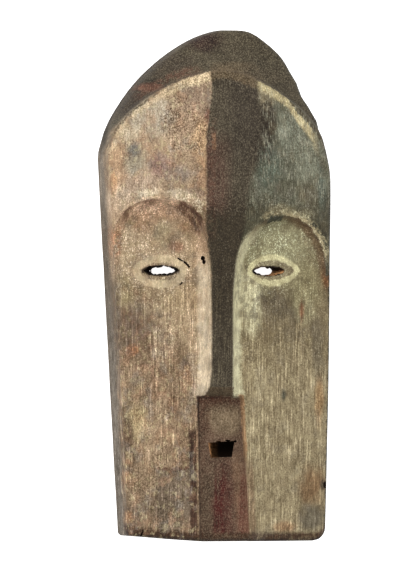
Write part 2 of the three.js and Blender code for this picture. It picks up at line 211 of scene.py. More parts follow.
left_chin, right_chin = chin_at(JAW["left"]), chin_at(JAW["right"])
arch_ends = [float(side_at(side, ARCH_Y)) for side in ("left", "right")]
OUTLINE = np.vstack((
    line(lambda y: side_at("left", y), left_chin, ARCH_Y, upright=True),
    line(crown_at, arch_ends[0], SHOULDERS["left"][0]),
    line(crown_at, SHOULDERS["right"][0], arch_ends[1]),
    line(lambda y: side_at("right", y), ARCH_Y, right_chin, upright=True),
    line(chin_at, JAW["right"], JAW["left"]),
))
OUTLINE = np.column_stack(hewn(OUTLINE[:, 0], OUTLINE[:, 1]))
ARCH_LINE = np.vstack((line(arch_at, arch_ends[0], ARCH_X), line(arch_at, ARCH_X, arch_ends[1])))


def crest_line(side):
    brow = BROWS[side]
    outer_end = brow["x"] + brow["side"] * brow["outer"]
    inner_end = brow["x"] - brow["side"] * brow["inner"]
    arch = line(lambda x: brow_at(brow, x), outer_end, inner_end)
    down = line(lambda y: nose_side_at(side, y), brow["y"], NOSE["base"], upright=True, steps=8)
    return np.vstack((arch, down))


CRESTS = {side: crest_line(side) for side in BROWS}
print("points of the drawing:", len(OUTLINE), len(ARCH_LINE), [len(crest) for crest in CRESTS.values()])


# %% [markdown]
# ## Heights of the face
#
# The forehead is a dome that runs down into the flat bar of the nose. The cheeks lie lower, so the
# brows stand as ledges over the sockets. Behind the forehead's edge the cap of hair steps back and
# slopes down to the crown. One function gives the height at any place, so the mesh can be as fine
# as the paint and the wear need.

# %% Height of the front
MIDDLE_X = -1.2
RIDGE = ((-38.6, 23.2), (-34.7, 29.8), (-5, 30.4), (15, 31.2), (40, 32.2), (57, 30.4), (75, 25.4), (90, 17))
CHEEK = ((-90, 20.4), (-60, 22.2), (-30, 23.4), (0, 23), (30, 22))
FOREHEAD_SIDE = ((10, 20.6), (34, 20.4), (49, 17.6), (75, 13), (90, 10))
CROWN_RIM = ((49, 15), (70, 12.6), (90, 11.6))
CHEEK_FALL, FOREHEAD_ROUND, CHEEK_ROUND = 2.4, 1.8, 2.4
ARCH_STEP_SIDE, ARCH_STEP_MIDDLE, ARCH_STEP_WIDTH, CAP_BEND = 3.2, 1.3, 1.2, 1.5
ARRIS_RADIUS = 2.2
RUBBED_CREST = 0.3


def along(stations, y):
    """Height at y on a smooth line through a few stations."""
    ys, zs = np.array(stations, float).T
    last = len(ys) - 1
    before, after = np.maximum(np.arange(last + 1) - 1, 0), np.minimum(np.arange(last + 1) + 1, last)
    slopes = (zs[after] - zs[before]) / (ys[after] - ys[before])
    i = np.clip(np.searchsorted(ys, y, side="left") - 1, 0, last - 1)
    run = ys[i + 1] - ys[i]
    t = np.clip((y - ys[i]) / run, 0, 1)
    bend = (zs[i] - zs[i + 1] + slopes[i] * run) * (1 - t) + (zs[i + 1] - zs[i] - slopes[i + 1] * run) * t
    return mix(zs[i], zs[i + 1], t) + t * (1 - t) * bend


def distance_to(points, x, y):
    best = np.full(np.shape(x), np.inf)
    for (ax, ay), (bx, by) in zip(points[:-1], points[1:]):
        span = max((bx - ax) ** 2 + (by - ay) ** 2, 1e-12)
        t = np.clip(((x - ax) * (bx - ax) + (y - ay) * (by - ay)) / span, 0, 1)
        best = np.minimum(best, np.hypot(x - mix(ax, bx, t), y - mix(ay, by, t)))
    return best


def below_brow(x, y):
    """Distance into the cheek from the brow's edge and the nose's side, negative on the forehead."""
    out = np.empty(np.shape(x))
    for side, brow in BROWS.items():
        here = (x < 0) if side == "left" else (x >= 0)
        px, py = x[here], y[here]
        beside_nose = (px - nose_side_at(side, py)) * brow["side"] > 0
        on_cheek = np.where(py <= brow["y"], beside_nose, py < brow_at(brow, px))
        away = distance_to(CRESTS[side], px, py)
        out[here] = np.where(on_cheek, away, -away)
    return out


def in_panel(x, y):
    """Distance into the mouth panel from its nearest side, negative outside."""
    across = np.minimum(x - panel_side_at("left", y), panel_side_at("right", y) - x)
    return np.minimum(across, PANEL["top"] - y)


def forehead_height(x, y):
    ridge = along(RIDGE, y)
    return ridge - (ridge - along(FOREHEAD_SIDE, y)) * (np.abs(x - MIDDLE_X) / HALF_WIDTH) ** FOREHEAD_ROUND


def cheek_height(x, y):
    return along(CHEEK, y) - CHEEK_FALL * (np.abs(x - MIDDLE_X) / HALF_WIDTH) ** CHEEK_ROUND


def front_height(x, y, fields):
    brow_mm, panel_mm, outline_mm, arch_mm = (fields[name] for name in ("brow", "panel", "outline", "arch"))
    cheek = cheek_height(x, y)
    raised = np.where(y < PANEL["top"], cheek, forehead_height(x, y))
    narrowing = np.clip((LEDGE_NARROWS_FROM - y) / (LEDGE_NARROWS_FROM - NOSE["base"]), 0, 1)
    out = np.clip(brow_mm / mix(LEDGE_RUN, LEDGE_RUN_TIP, narrowing), 0, 1)
    z = mix(raised, cheek, (1 - (1 - out) ** 2) * ramp(out, 0, RUBBED_CREST))
    z = z - PANEL["depth"] * np.clip(panel_mm / PANEL["slope"], 0, 1)
    step = mix(ARCH_STEP_MIDDLE, ARCH_STEP_SIDE, ramp(np.abs(x - ARCH_X), 6, 18))
    past = np.clip(arch_mm, 0, None)
    share = (past / (past + outline_mm + 1e-6)) ** CAP_BEND
    cap = mix(forehead_height(x, y) - step, along(CROWN_RIM, y), share)
    z = mix(z, cap, np.clip(past / ARCH_STEP_WIDTH, 0, 1))
    return z - ARRIS_RADIUS * (1 - np.sqrt(1 - np.clip(1 - outline_mm / ARRIS_RADIUS, 0, 1) ** 2))


def fields_at(x, y):
    """Distances in millimetres from the drawing's lines, by name."""
    arch = distance_to(ARCH_LINE, x, y)
    return {
        "outline": distance_to(OUTLINE, x, y),
        "arch": np.where(y > arch_at(x), arch, -arch),
        "brow": below_brow(x, y),
        "panel": in_panel(x, y),
    }


nose_spot = np.array([MIDDLE_X]), np.array([float(NOSE["straight"])])
print("height of the nose in mm:", front_height(*nose_spot, fields_at(*nose_spot)).round(1))


# %% [markdown]
# ## A finer copy of the mask
#
# The frame's solid is coarse. A copy is merged, pairs of triangles are joined to quads, and every
# quad is divided into sixteen. The edges of the carving already run along the quads, so they stay
# crisp, which a voxel remesh would blur. The flat rim of the back was cut into long splinters by the
# hollow, so it is taken off first and bridged again at the end.

# %% Helpers for the mesh
FRONT, WALL, HOLLOW, PIERCED, BORED = range(5)
DIVISIONS = 3
ON_FRONT = 1.2
NEAR_OUTLINE = 1.6
HOLLOW_END_Y = -53
EYES = (
    {"x": -21.5, "y": 5.2, "half": 6.4, "high": 1.75, "back": (-19.5, 4.2, 1.55),
     "ring": (-21.9, 4.9, 9.0, 5.4, 1.8, 2.2)},
    {"x": 16.5, "y": 5.1, "half": 5.7, "high": 1.65, "back": (16.3, 2.6, 1.4),
     "ring": (18.5, 5.3, 9.1, 5.3, 2.0, 1.5)},
)


def only(piece):
    bpy.ops.object.select_all(action="DESELECT")
    piece.select_set(True)
    bpy.context.view_layer.objects.active = piece


def vertices_mm(piece):
    flat = np.empty(len(piece.data.vertices) * 3)
    piece.data.vertices.foreach_get("co", flat)
    return flat.reshape(-1, 3) / MM


def move_vertices(piece, points_mm):
    piece.data.vertices.foreach_set("co", (points_mm * MM).ravel())
    piece.data.update()


def select_faces(piece, chosen):
    """Selects faces by their centres and normals, and goes to edit mode."""
    count = len(piece.data.polygons)
    centres, normals = np.empty(count * 3), np.empty(count * 3)
    piece.data.polygons.foreach_get("center", centres)
    piece.data.polygons.foreach_get("normal", normals)
    picks = chosen(centres.reshape(-1, 3) / MM, normals.reshape(-1, 3))
    only(piece)
    bpy.ops.object.mode_set(mode="EDIT")
    bpy.ops.mesh.select_mode(type="FACE")
    bpy.ops.mesh.select_all(action="DESELECT")
    bpy.ops.object.mode_set(mode="OBJECT")
    piece.data.polygons.foreach_set("select", picks)
    bpy.ops.object.mode_set(mode="EDIT")
    return int(picks.sum())


def triangles_of(piece):
    return sum(len(face.vertices) - 2 for face in piece.data.polygons)


def face_corners(piece):
    """For every corner of every face: the number of its vertex and of its face."""
    corner_vertex = np.empty(len(piece.data.loops), int)
    piece.data.loops.foreach_get("vertex_index", corner_vertex)
    totals = np.empty(len(piece.data.polygons), int)
    piece.data.polygons.foreach_get("loop_total", totals)
    return corner_vertex, np.repeat(np.arange(len(totals)), totals)


def part_of_faces(piece):
    part = np.empty(len(piece.data.polygons), int)
    piece.data.attributes["part"].data.foreach_get("value", part)
    return part


def touching(piece, kind):
    """Which vertices touch a face of this part."""
    corner_vertex, corner_face = face_corners(piece)
    found = np.zeros(len(piece.data.vertices), bool)
    found[corner_vertex[part_of_faces(piece)[corner_face] == kind]] = True
    return found


print("triangles of the frame's solid:", triangles_of(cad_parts["mask"]))


# %% Copy the mask, take off the back rim and make quads
only(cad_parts["mask"])
bpy.ops.object.duplicate()
mask = bpy.context.active_object
mask.name = mask.data.name = "carved_mask"
mask.data.materials.clear()
bpy.ops.object.mode_set(mode="EDIT")
bpy.ops.mesh.select_all(action="SELECT")
bpy.ops.mesh.remove_doubles(threshold=1e-6)
bpy.ops.object.mode_set(mode="OBJECT")
splinters = select_faces(mask, lambda centres, normals: (centres[:, 2] < 0.01) & (normals[:, 2] < -0.99))
bpy.ops.mesh.delete(type="FACE")
bpy.ops.mesh.select_all(action="SELECT")
bpy.ops.mesh.tris_convert_to_quads(face_threshold=math.radians(60), shape_threshold=math.radians(70))
bpy.ops.object.mode_set(mode="OBJECT")
print("splinters taken off:", splinters, "faces left:", len(mask.data.polygons))

# %% Tell front, walls, hollow and pierced eyes apart
points = vertices_mm(mask)
fields = fields_at(points[:, 0], points[:, 1])
on_front = np.abs(points[:, 2] - front_height(points[:, 0], points[:, 1], fields)) < ON_FRONT
corner_vertex, corner_face = face_corners(mask)
front_face = np.ones(len(mask.data.polygons), bool)
np.logical_and.at(front_face, corner_face, on_front[corner_vertex])
middles = np.zeros((len(front_face), 3))
np.add.at(middles, corner_face, points[corner_vertex])
middles /= np.bincount(corner_face)[:, None]
near_outline = distance_to(OUTLINE, middles[:, 0], middles[:, 1]) < NEAR_OUTLINE
pierced = middles[:, 1] < HOLLOW_END_Y
sideways = np.empty(len(front_face) * 3)
mask.data.polygons.foreach_get("normal", sideways)
sideways = np.abs(sideways.reshape(-1, 3)[:, 2]) < 0.6
for eye in EYES:
    close = np.hypot((middles[:, 0] - eye["x"]) / 1.4, (middles[:, 1] - eye["y"]) / 0.5) < eye["half"]
    pierced |= close & sideways
part = np.where(front_face, FRONT, np.where(near_outline, WALL, np.where(pierced, PIERCED, HOLLOW)))
mask.data.attributes.new("part", "INT", "FACE").data.foreach_set("value", part)
print("faces by part:", np.bincount(part))

# %% Divide every quad into sixteen
only(mask)
bpy.ops.object.mode_set(mode="EDIT")
bpy.ops.mesh.select_all(action="SELECT")
bpy.ops.mesh.subdivide(number_cuts=DIVISIONS, quadcorner="INNERVERT")
bpy.ops.object.mode_set(mode="OBJECT")
print("divided mask:", len(mask.data.vertices), "vertices,", triangles_of(mask), "triangles")


# %% [markdown]
# ## Knife work, wear and the gouged hollow
#
# The finer vertices first take the true heights. Then the surface gets what a hand and a long life
# leave on it: slow swells from the knife, an edge that is rubbed round and nicked, ragged rims where
# the eyes break through, and rows of shallow scoops in the hollow, each as wide as the gouge. All
# of it is noise from a fixed seed, so that every run gives the same mask.

# %% Noise from a fixed seed
NOISE_SEED = 1907
NOISE_SIZE = 32
noise_table = np.random.default_rng(NOISE_SEED).random((NOISE_SIZE, NOISE_SIZE, NOISE_SIZE)) * 2 - 1


def noise(x, y, z, size, shift=0):
    """Smooth noise from -1 to 1, with bumps about as wide as size, one number or one for each axis."""
    sizes = np.broadcast_to(size, 3)
    at = [np.asarray(v) / n + shift * (0.37 + i) for i, (v, n) in enumerate(zip((x, y, z), sizes))]
    cell = [np.floor(v).astype(int) for v in at]
    part_way = [v - c for v, c in zip(at, cell)]
    soft = [t * t * (3 - 2 * t) for t in part_way]
    total = 0
    for corner in range(8):
        step = [(corner >> i) & 1 for i in range(3)]
        weight = 1
        for t, s in zip(soft, step):
            weight = weight * (t if s else 1 - t)
        total = total + weight * noise_table[tuple((c + s) % NOISE_SIZE for c, s in zip(cell, step))]
    return total


def scoops(x, y, wide, long, seed):
    """Depth from 0 to 1 of overlapping gouge cuts, as the nearest of many scattered paraboloids."""
    rng = np.random.default_rng(seed)
    spread_x = np.arange(-40, 40, wide)
    spread_y = np.arange(-90, 90, long)
    cx, cy = (v.ravel() for v in np.meshgrid(spread_x, spread_y))
    cx = cx + rng.uniform(-0.4, 0.4, cx.size) * wide
    cy = cy + rng.uniform(-0.5, 0.5, cy.size) * long
    nearest = np.full(np.shape(x), np.inf)
    for sx, sy in zip(cx, cy):
        nearest = np.minimum(nearest, ((x - sx) / wide) ** 2 + ((y - sy) / long) ** 2)
    return 1 - np.clip(nearest, 0, 1)


print("noise table:", noise_table.shape, "mean", noise_table.mean().round(3))


# %% Ragged rims of the eyes
RAGGED = 0.75
NARROWING = 0.5

points = vertices_mm(mask)
is_front, is_wall, is_hollow, is_pierced = (touching(mask, kind) for kind in (FRONT, WALL, HOLLOW, PIERCED))
x, y, z = points.T.copy()

for eye in EYES:
    dx, dy = (x - eye["x"]) / eye["half"], (y - eye["y"]) / eye["high"]
    reach = np.hypot(dx, dy)
    rim = np.clip(1.7 - reach, 0, 1) * (is_front | is_pierced) * (np.abs(dx) < 1.6) * (z > 12)
    push = RAGGED * rim * (noise(x, y, z, (1.6, 1.6, 4), 3) + 0.5 * noise(x, y, z, (0.8, 0.8, 3), 5))
    y = y + push * np.sign(dy) * np.clip(np.abs(dy) * 2, 0, 1)
    x = x + 0.6 * push * np.sign(dx) * np.clip(np.abs(dx) - 0.5, 0, 1)
    closing = NARROWING * rim * (1 - ramp(z, 13, 17)) * (eye["x"] < 0)
    y = y - closing * np.clip(dy, -0.3, 1)
    x = x - closing * np.clip(dx, -1, 1)
print("rims moved by up to", np.hypot(x - points[:, 0], y - points[:, 1]).max().round(2), "mm")

# %% True heights, swells of the knife and rubbed edges
SWELL = 0.22
EDGE_WEAR = 0.55

fields = fields_at(x[is_front], y[is_front])
height = front_height(x[is_front], y[is_front], fields)
fx, fy = x[is_front], y[is_front]
swell = noise(fx, fy, 0, (9, 16, 9), 1) + 0.4 * noise(fx, fy, 0, (3.5, 7, 9), 2)
edge = np.clip(1 - fields["outline"] / 3.5, 0, 1)
wear = EDGE_WEAR * edge * np.clip(noise(fx, fy, 0, (8, 11, 8), 4) + 0.3 * noise(fx, fy, 0, 2.5, 6), 0, 1)
on_edge = is_wall[is_front]
height[on_edge] = z[is_front][on_edge]
z[is_front] = height + SWELL * (swell - 0.5) - wear
print("deepest wear of the edges in mm:", wear.max().round(2))

# %% Knife cuts on the walls and gouge cuts in the hollow
WALL_CUT = 0.2
WALL_CUT_AT_FOOT = 0.35
HOLLOW_CUT = 0.9
GOUGE_WIDE, GOUGE_LONG = 6.5, 13

outward = np.empty(len(points) * 3)
mask.data.vertices.foreach_get("normal", outward)
outward = outward.reshape(-1, 3)[:, :2]
outward /= np.linalg.norm(outward, axis=1)[:, None] + 1e-9
dents = 0.45 + noise(x, y, z, (7, 7, 11), 8) + 0.3 * noise(x, y, z, 3, 9)
cut = WALL_CUT * is_wall * np.clip(dents, 0, 1.4)
cut *= np.where(z < 0.01, WALL_CUT_AT_FOOT, 1)
x -= outward[:, 0] * cut
y -= outward[:, 1] * cut

lift = HOLLOW_CUT * (scoops(x[is_hollow], y[is_hollow], GOUGE_WIDE, GOUGE_LONG, seed=5) - 0.7)
inner_rim = np.clip(z[is_hollow] / 4, 0, 1)
z[is_hollow] += lift * inner_rim * ~is_pierced[is_hollow]
carved = np.column_stack((x, y, z))
move_vertices(mask, carved)
print("moved in mm, lowest and highest:", *(np.round(f(carved - points, 0), 2) for f in (np.min, np.max)))


# %% Bridge the flat rim of the back
only(mask)
bpy.ops.object.mode_set(mode="EDIT")
bpy.ops.mesh.select_mode(type="EDGE")
bpy.ops.mesh.select_all(action="DESELECT")
bpy.ops.mesh.select_non_manifold(extend=False, use_wire=False, use_boundary=True,
                                 use_multi_face=False, use_non_contiguous=False, use_verts=False)
bpy.ops.mesh.bridge_edge_loops()
bpy.ops.mesh.select_all(action="SELECT")
bpy.ops.mesh.normals_make_consistent(inside=False)
bpy.ops.object.mode_set(mode="OBJECT")
print("bridged mask:", triangles_of(mask), "triangles")


# %% [markdown]
# ## Insect holes, splinters and the crack
#
# Beetles have bored into the wood by the nose and run a gallery beside the left eye. The eyes were
# opened with a hot or blunt tool that tore small bites out of their inner edge, and the chin has a
# short crack. Each of these is a ball pressed flat or drawn long. The balls are joined, remeshed into
# one skin, and cut out of the mask together.

# %% Balls where the wood is gone
# x, y, half width, half height, depth below the surface
LOST_WOOD = {
    "bore by the nose": ((-7.2, 9.5, 0.6, 0.85, 3.5), (-6.9, 8.2, 0.5, 0.8, 3)),
    "gallery by the eye": (
        (-15.3, 9.4, 0.42, 0.36, 0.6), (-14.9, 9.1, 0.4, 0.36, 0.7), (-14.4, 8.8, 0.4, 0.36, 0.7),
        (-13.9, 8.6, 0.36, 0.3, 0.5), (-13.2, 8.1, 0.4, 0.4, 0.8), (-12.8, 7.8, 0.42, 0.4, 0.9),
        (-12.4, 7.4, 0.42, 0.42, 0.9), (-12.0, 7.0, 0.42, 0.42, 0.9), (-11.6, 6.5, 0.36, 0.4, 0.8),
    ),
    "small bore": ((-14.7, 0.5, 0.4, 0.32, 1), (-14.2, 0.9, 0.4, 0.32, 1)),
    "rim of the mouth": (
        (5.0, -54.4, 0.55, 0.4, 2.2), (2.4, -54.1, 0.9, 0.3, 2.2), (-0.8, -54.4, 0.9, 0.25, 2.2),
    ),
    "crack at the chin": (
        (-27.4, -85.6, 0.26, 0.7, 1.5), (-27.7, -86.6, 0.34, 0.8, 2.2), (-28.1, -87.6, 0.38, 0.8, 3),
        (-28.5, -88.6, 0.45, 1.0, 4),
    ),
    "notch of the right edge": ((37.3, -69.8, 0.8, 1.3, 0.8),),
}
BITES_PER_EYE = 16
BITE_Z = 12.5
BITE_SEED = 11
REMESH_MM = 0.13


def ball(bx, by, bz, half_x, half_y, half_z):
    bpy.ops.object.select_all(action="DESELECT")
    bpy.ops.mesh.primitive_ico_sphere_add(subdivisions=2, radius=1, location=(0, 0, 0))
    made = bpy.context.active_object
    made.scale = (half_x * MM, half_y * MM, half_z * MM)
    made.location = (bx * MM, by * MM, bz * MM)
    bpy.ops.object.transform_apply(location=True, rotation=False, scale=True)
    return made


balls = []
for bx, by, half_x, half_y, depth in sum(LOST_WOOD.values(), ()):
    spot = np.array([bx]), np.array([by])
    surface = float(front_height(*spot, fields_at(*spot))[0])
    balls.append(ball(bx, by, surface, half_x, half_y, depth))
chance = np.random.default_rng(BITE_SEED)
for eye in EYES:
    back_x, back_half, back_high = eye["back"]
    for turn_share in (np.arange(BITES_PER_EYE) + chance.uniform(-0.3, 0.3, BITES_PER_EYE)) / BITES_PER_EYE:
        angle = 2 * math.pi * turn_share
        size = chance.uniform(0.3, 0.6)
        bite_x, bite_y = back_x + back_half * math.cos(angle), eye["y"] + back_high * math.sin(angle)
        balls.append(ball(bite_x, bite_y, BITE_Z, size, 0.8 * size, chance.uniform(2, 4)))
bpy.ops.object.select_all(action="DESELECT")
for each in balls:
    each.select_set(True)
bpy.context.view_layer.objects.active = balls[0]
bpy.ops.object.join()
lost = bpy.context.active_object
lost.data.remesh_voxel_size = REMESH_MM * MM
bpy.ops.object.voxel_remesh()
bored = np.full(len(lost.data.polygons), BORED)
lost.data.attributes.new("part", "INT", "FACE").data.foreach_set("value", bored)
print("balls:", len(balls), "joined skin:", triangles_of(lost), "triangles")

# %% Cut them out
only(mask)
bpy.ops.object.modifier_add(type="BOOLEAN")
cutting = mask.modifiers[-1]
cutting.object = lost
cutting.operation = "DIFFERENCE"
cutting.solver = "MANIFOLD"
bpy.ops.object.modifier_apply(modifier=cutting.name)
mask.data.materials.clear()
bpy.data.objects.remove(lost)
print("mask after the cuts:", triangles_of(mask), "triangles")
print("faces of each part:", np.bincount(part_of_faces(mask)))

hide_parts("mask")
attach(mask, "root")

# %% [markdown]
# ## Where the paint goes
#
# Earth paints were rubbed on in broad areas: cream over the left of the face, a grey green over the
# right, and a dark stripe from the forehead down the nose. The cap of hair is dark, and the panel
# with the mouth is red brown. Each area's edge is kept on the mesh as a distance in millimetres, so
# that the shader can break it up. The broad tones go into one colour attribute, blended from soft
# patches, each with a place, a size, a colour and a strength.

# %% Edges of the painted areas, as distances
STRIPE_LEFT = (
    (-38, -5.9), (-29.8, -5.1), (-5, -5.1), (9, -5.6), (15, -6.8), (26, -7), (37, -6.9), (48, -7.2),
    (57, -6.2), (68, -4.5), (80, -4.5),
)
STRIPE_RIGHT = (
    (-38, 2.8), (-29.8, 2.5), (-5, 2.7), (9, 3.5), (15, 5.2), (26, 7.3), (37, 9.2), (43, 11.4),
    (48, 12), (57, 13.6), (68, 12.3), (80, 12.3),
)


def almond(x, y, middle_x, middle_y, half_x, half_y, power_left, power_right):
    """Distance from an eye shaped line, negative inside."""
    dx, dy = (x - middle_x) / half_x, (y - middle_y) / half_y
    power = mix(power_left, power_right, ramp(dx, -0.5, 0.5))
    reach = (np.abs(dx) ** power + np.abs(dy) ** power) ** (1 / power) + 1e-6
    along_ray = np.hypot(x - middle_x, y - middle_y) / reach
    return (reach - 1) * along_ray


def store(name, values, kind="FLOAT"):
    attribute = mask.data.attributes.new(name, kind, "POINT")
    attribute.data.foreach_set("value" if kind == "FLOAT" else "color", np.ravel(values))


x, y, z = vertices_mm(mask).T
fields = fields_at(x, y)
for name, distance in fields.items():
    store(name, distance)
rubbed_edge = mix(1, 3, ramp(y, 14, 28))
stripe = np.minimum(x - along(STRIPE_LEFT, y), (along(STRIPE_RIGHT, y) - x) / rubbed_edge)
store("stripe", np.where(y < PANEL["top"], -5, stripe))
store("foot", y - chin_at(np.clip(x, JAW["left"], JAW["right"])))
rings = [almond(x, y, *eye["ring"]) for eye in EYES]
store("ring", np.where(x < 0, *rings))
slits = [almond(x, y, eye["x"], eye["y"], eye["half"], eye["high"], 2, 2) for eye in EYES]
store("slit", np.minimum(*slits))
print("edges stored on the mesh:", [*fields, "stripe", "foot", "ring", "slit"])

# %% Patches of the broad tones
# Screen colours from 0 to 255, and for each patch: x, y, half width, half height, colour, strength
LEFT_FOREHEAD, RIGHT_FOREHEAD = (160, 137, 110), (95, 94, 77)
LEFT_CHEEK, RIGHT_CHEEK = (144, 122, 96), (146, 132, 102)
HAIR, MOUTH_PANEL = (70, 62, 47), (90, 68, 53)
CREAM, ORANGE = (205, 186, 158), (178, 132, 90)
PATCHES = {
    "forehead": (
        (-25, 59, 11, 7, (174, 162, 140), 0.85), (-13.5, 57, 7, 7, (154, 130, 105), 0.7),
        (-9.5, 66, 7, 5.5, (132, 112, 94), 0.75), (-8, 48, 4.5, 9, (182, 150, 112), 0.75),
        (-6, 58.5, 1.8, 3, (112, 74, 60), 0.8), (-18, 49, 5, 4, (160, 138, 112), 0.6),
        (-22.5, 41.5, 5, 4.5, (144, 112, 100), 0.85), (-16.4, 38.6, 5.5, 3, (138, 126, 114), 0.7),
        (-30.4, 42.5, 4.5, 5, (158, 154, 134), 0.6), (-30, 35, 8, 6, (178, 156, 134), 0.7),
        (-32.2, 53.5, 4, 4, (196, 180, 152), 0.7), (-37, 42, 2.5, 12, (178, 146, 114), 0.7),
        (-36.5, 27, 4.5, 7, (220, 196, 168), 0.75), (-38, 36, 1.2, 5, ORANGE, 0.5),
        (-31.2, 47.2, 2.5, 2.3, (98, 94, 86), 0.95), (-17, 32, 4.5, 1.6, CREAM, 0.8),
        (-10, 29.6, 3.5, 1.6, CREAM, 0.7), (-26.5, 32.3, 4.5, 1.2, CREAM, 0.5),
        (-9, 36, 3, 9, (150, 112, 84), 0.5), (-8.6, 20, 2.5, 9, (150, 118, 94), 0.5),
        (15, 57, 4, 7, (66, 58, 45), 0.85), (15, 66, 4, 3.5, (156, 142, 112), 0.7),
        (25, 55, 6, 8, (122, 124, 106), 0.8), (15, 41, 5, 9, (86, 93, 79), 0.8),
        (30, 44, 6, 9, (120, 121, 102), 0.8), (31, 31, 4, 5, (94, 86, 64), 0.7),
        (22, 34, 6, 3, (76, 72, 54), 0.6), (35.5, 34, 2, 10, (96, 104, 92), 0.6),
        (20, 26.5, 6, 2, (158, 152, 122), 0.8), (29, 25, 5, 2, (150, 142, 112), 0.6),
    ),
    "cheek": (
        (-20, 13, 16, 15, (232, 210, 180), 0.95), (-36, 14, 2.6, 5, (212, 152, 118), 0.8),
        (-20, 26, 12, 4, (232, 198, 168), 0.9), (-27, 22, 5, 4, (222, 186, 154), 0.7),
        (-21.2, 17.8, 3.2, 5, (204, 190, 160), 0.8), (-11.6, 20.6, 4, 2.6, (190, 146, 112), 0.65),
        (-16.2, 13.6, 3, 2, (176, 126, 102), 0.7), (-34, 16, 2.5, 4, (140, 126, 110), 0.4),
        (-33.5, 9.5, 3, 3, (172, 162, 122), 0.6), (-20, -5, 14, 8, (216, 196, 164), 0.85),
        (-35.5, 8, 5, 13, (244, 222, 190), 0.85), (-20.5, -19, 4, 9, (212, 188, 156), 0.8),
        (-14, -11, 8, 10, (212, 190, 156), 0.9), (-7.5, 14, 2.8, 11, (238, 208, 178), 0.95),
        # The first patch on the next line lightens the foot of the nose's left flank, where real shade
        # falls: painted light.
        (-10.8, -4, 2.6, 28, (226, 202, 170), 0.75), (-30.5, -13, 5, 8, (132, 114, 100), 0.7),
        (-31.7, -22.4, 2.5, 2, (176, 122, 82), 0.9), (-34, -2, 3, 6, (186, 172, 132), 0.6),
        (-30, -48, 4.5, 7, (188, 170, 126), 0.7), (-16, -50, 4, 8, (150, 126, 98), 0.6),
        (-34, -58, 2.5, 6, (178, 136, 92), 0.6), (-24, -38, 5, 2, (140, 112, 88), 0.6),
        (-33.4, -56, 3.2, 14, (100, 80, 62), 0.9), (-32, -82, 6, 5.5, (84, 68, 56), 0.95),
        (-12.8, -28, 1.6, 5.5, (112, 84, 64), 0.7), (-17.3, -42, 1.8, 5, (112, 84, 62), 0.6),
        (-23, -30, 2.2, 8, (132, 106, 82), 0.5), (-24, -52, 6, 9, (158, 134, 106), 0.5),
        (-14, -60, 3, 7, (120, 94, 70), 0.5), (-33.9, -66.8, 3, 2.4, ORANGE, 0.6),
        (-20, -78, 13, 10, (120, 101, 80), 0.8), (-32.4, -80.9, 3, 2, ORANGE, 0.5),
        (-11, -84, 2.5, 4, (146, 112, 82), 0.5), (-36.5, -30, 1.8, 60, (132, 118, 104), 0.6),
        (19, 13, 15, 14, (206, 206, 170), 0.95), (37, 12.5, 1.9, 8, (124, 92, 62), 0.7),
        (37.4, 3.5, 1.8, 4.5, (148, 98, 56), 0.9), (10.2, 17.8, 2, 3.6, (108, 74, 57), 0.8),
        (19, -2, 13, 5, (206, 202, 164), 0.9), (20.5, -6.5, 11, 6.5, (134, 124, 102), 0.95),
        (9.5, -5, 5, 11, (222, 216, 178), 0.9), (30, -2, 6, 10, (184, 178, 140), 0.7),
        (28.4, -8.3, 0.9, 4, (150, 92, 62), 0.8), (12, -34, 6, 14, (160, 146, 114), 0.6),
        (21.9, -38.4, 1, 2.2, (70, 70, 58), 0.9), (35, -40, 1.8, 9, (158, 124, 84), 0.7),
        (34, -20, 2.5, 12, (122, 112, 92), 0.7), (32.5, -70, 5, 7, (118, 88, 58), 0.8),
        (22.9, -84.4, 4, 2.2, (150, 112, 78), 0.6), (32.3, -81.6, 5.5, 5, (98, 90, 74), 0.9),
        (36.4, -69.6, 1.3, 2, (62, 50, 40), 0.9),
    ),
    "cap": (
        (-14, 73, 14, 3, (92, 76, 58), 0.6), (14, 73, 10, 3, (92, 78, 60), 0.5),
        (-4.5, 85.5, 7, 4.5, (44, 26, 20), 1.0), (-18, 78, 9, 4.5, (56, 46, 36), 0.75),
        (-26, 71, 8, 6, (46, 40, 31), 0.85), (-31, 62.5, 5, 6.5, (52, 42, 33), 0.95),
        (-25, 69, 4.5, 1.6, (104, 66, 50), 0.8), (5, 76.5, 8, 1.8, (92, 78, 58), 0.7),
        (20, 76, 9, 8, (62, 55, 41), 0.6), (30, 62, 4, 8, (72, 64, 47), 0.6),
    ),
    "panel": (
        (-1, -40.2, 9, 1.8, (78, 50, 36), 0.9), (1.5, -47, 8, 6, (124, 106, 82), 0.85),
        (-5.5, -47, 2, 6, (74, 46, 32), 0.5), (-4, -74, 4, 12, (84, 68, 52), 0.6),
        (6.6, -70, 3, 12, (122, 94, 72), 0.8), (1, -78, 4, 16, (78, 42, 34), 0.8),
        (8.6, -80, 3, 12, (122, 84, 66), 0.8),
    ),
}


print("patches:", {area: len(rows) for area, rows in PATCHES.items()})


# %% Blend the patches into one colour attribute
def linear(screen):
    share = np.asarray(screen, float) / 255
    return np.where(share < 0.04045, share / 12.92, ((share + 0.055) / 1.055) ** 2.4)


def oval(middle_x, middle_y, half_x, half_y):
    """How far out each vertex lies, 1 on an oval with this middle and these half sizes."""
    return np.hypot((x - middle_x) / half_x, (y - middle_y) / half_y)


def add_patches(colour, patches):
    """Each patch fades out over its rim, and the rim is uneven."""
    for px, py, half_x, half_y, screen, strength in patches:
        uneven = 0.25 * noise(x, y, z, (3, 5, 6), px) + 0.12 * noise(x, y, z, 1.3, py)
        share = strength * (1 - ramp(oval(px, py, half_x, half_y) + uneven, 0.45, 1.3))
        colour += share[:, None] * (linear(screen) - colour)
    return colour


def flat_tone(screen):
    return np.tile(linear(screen), (len(x), 1))


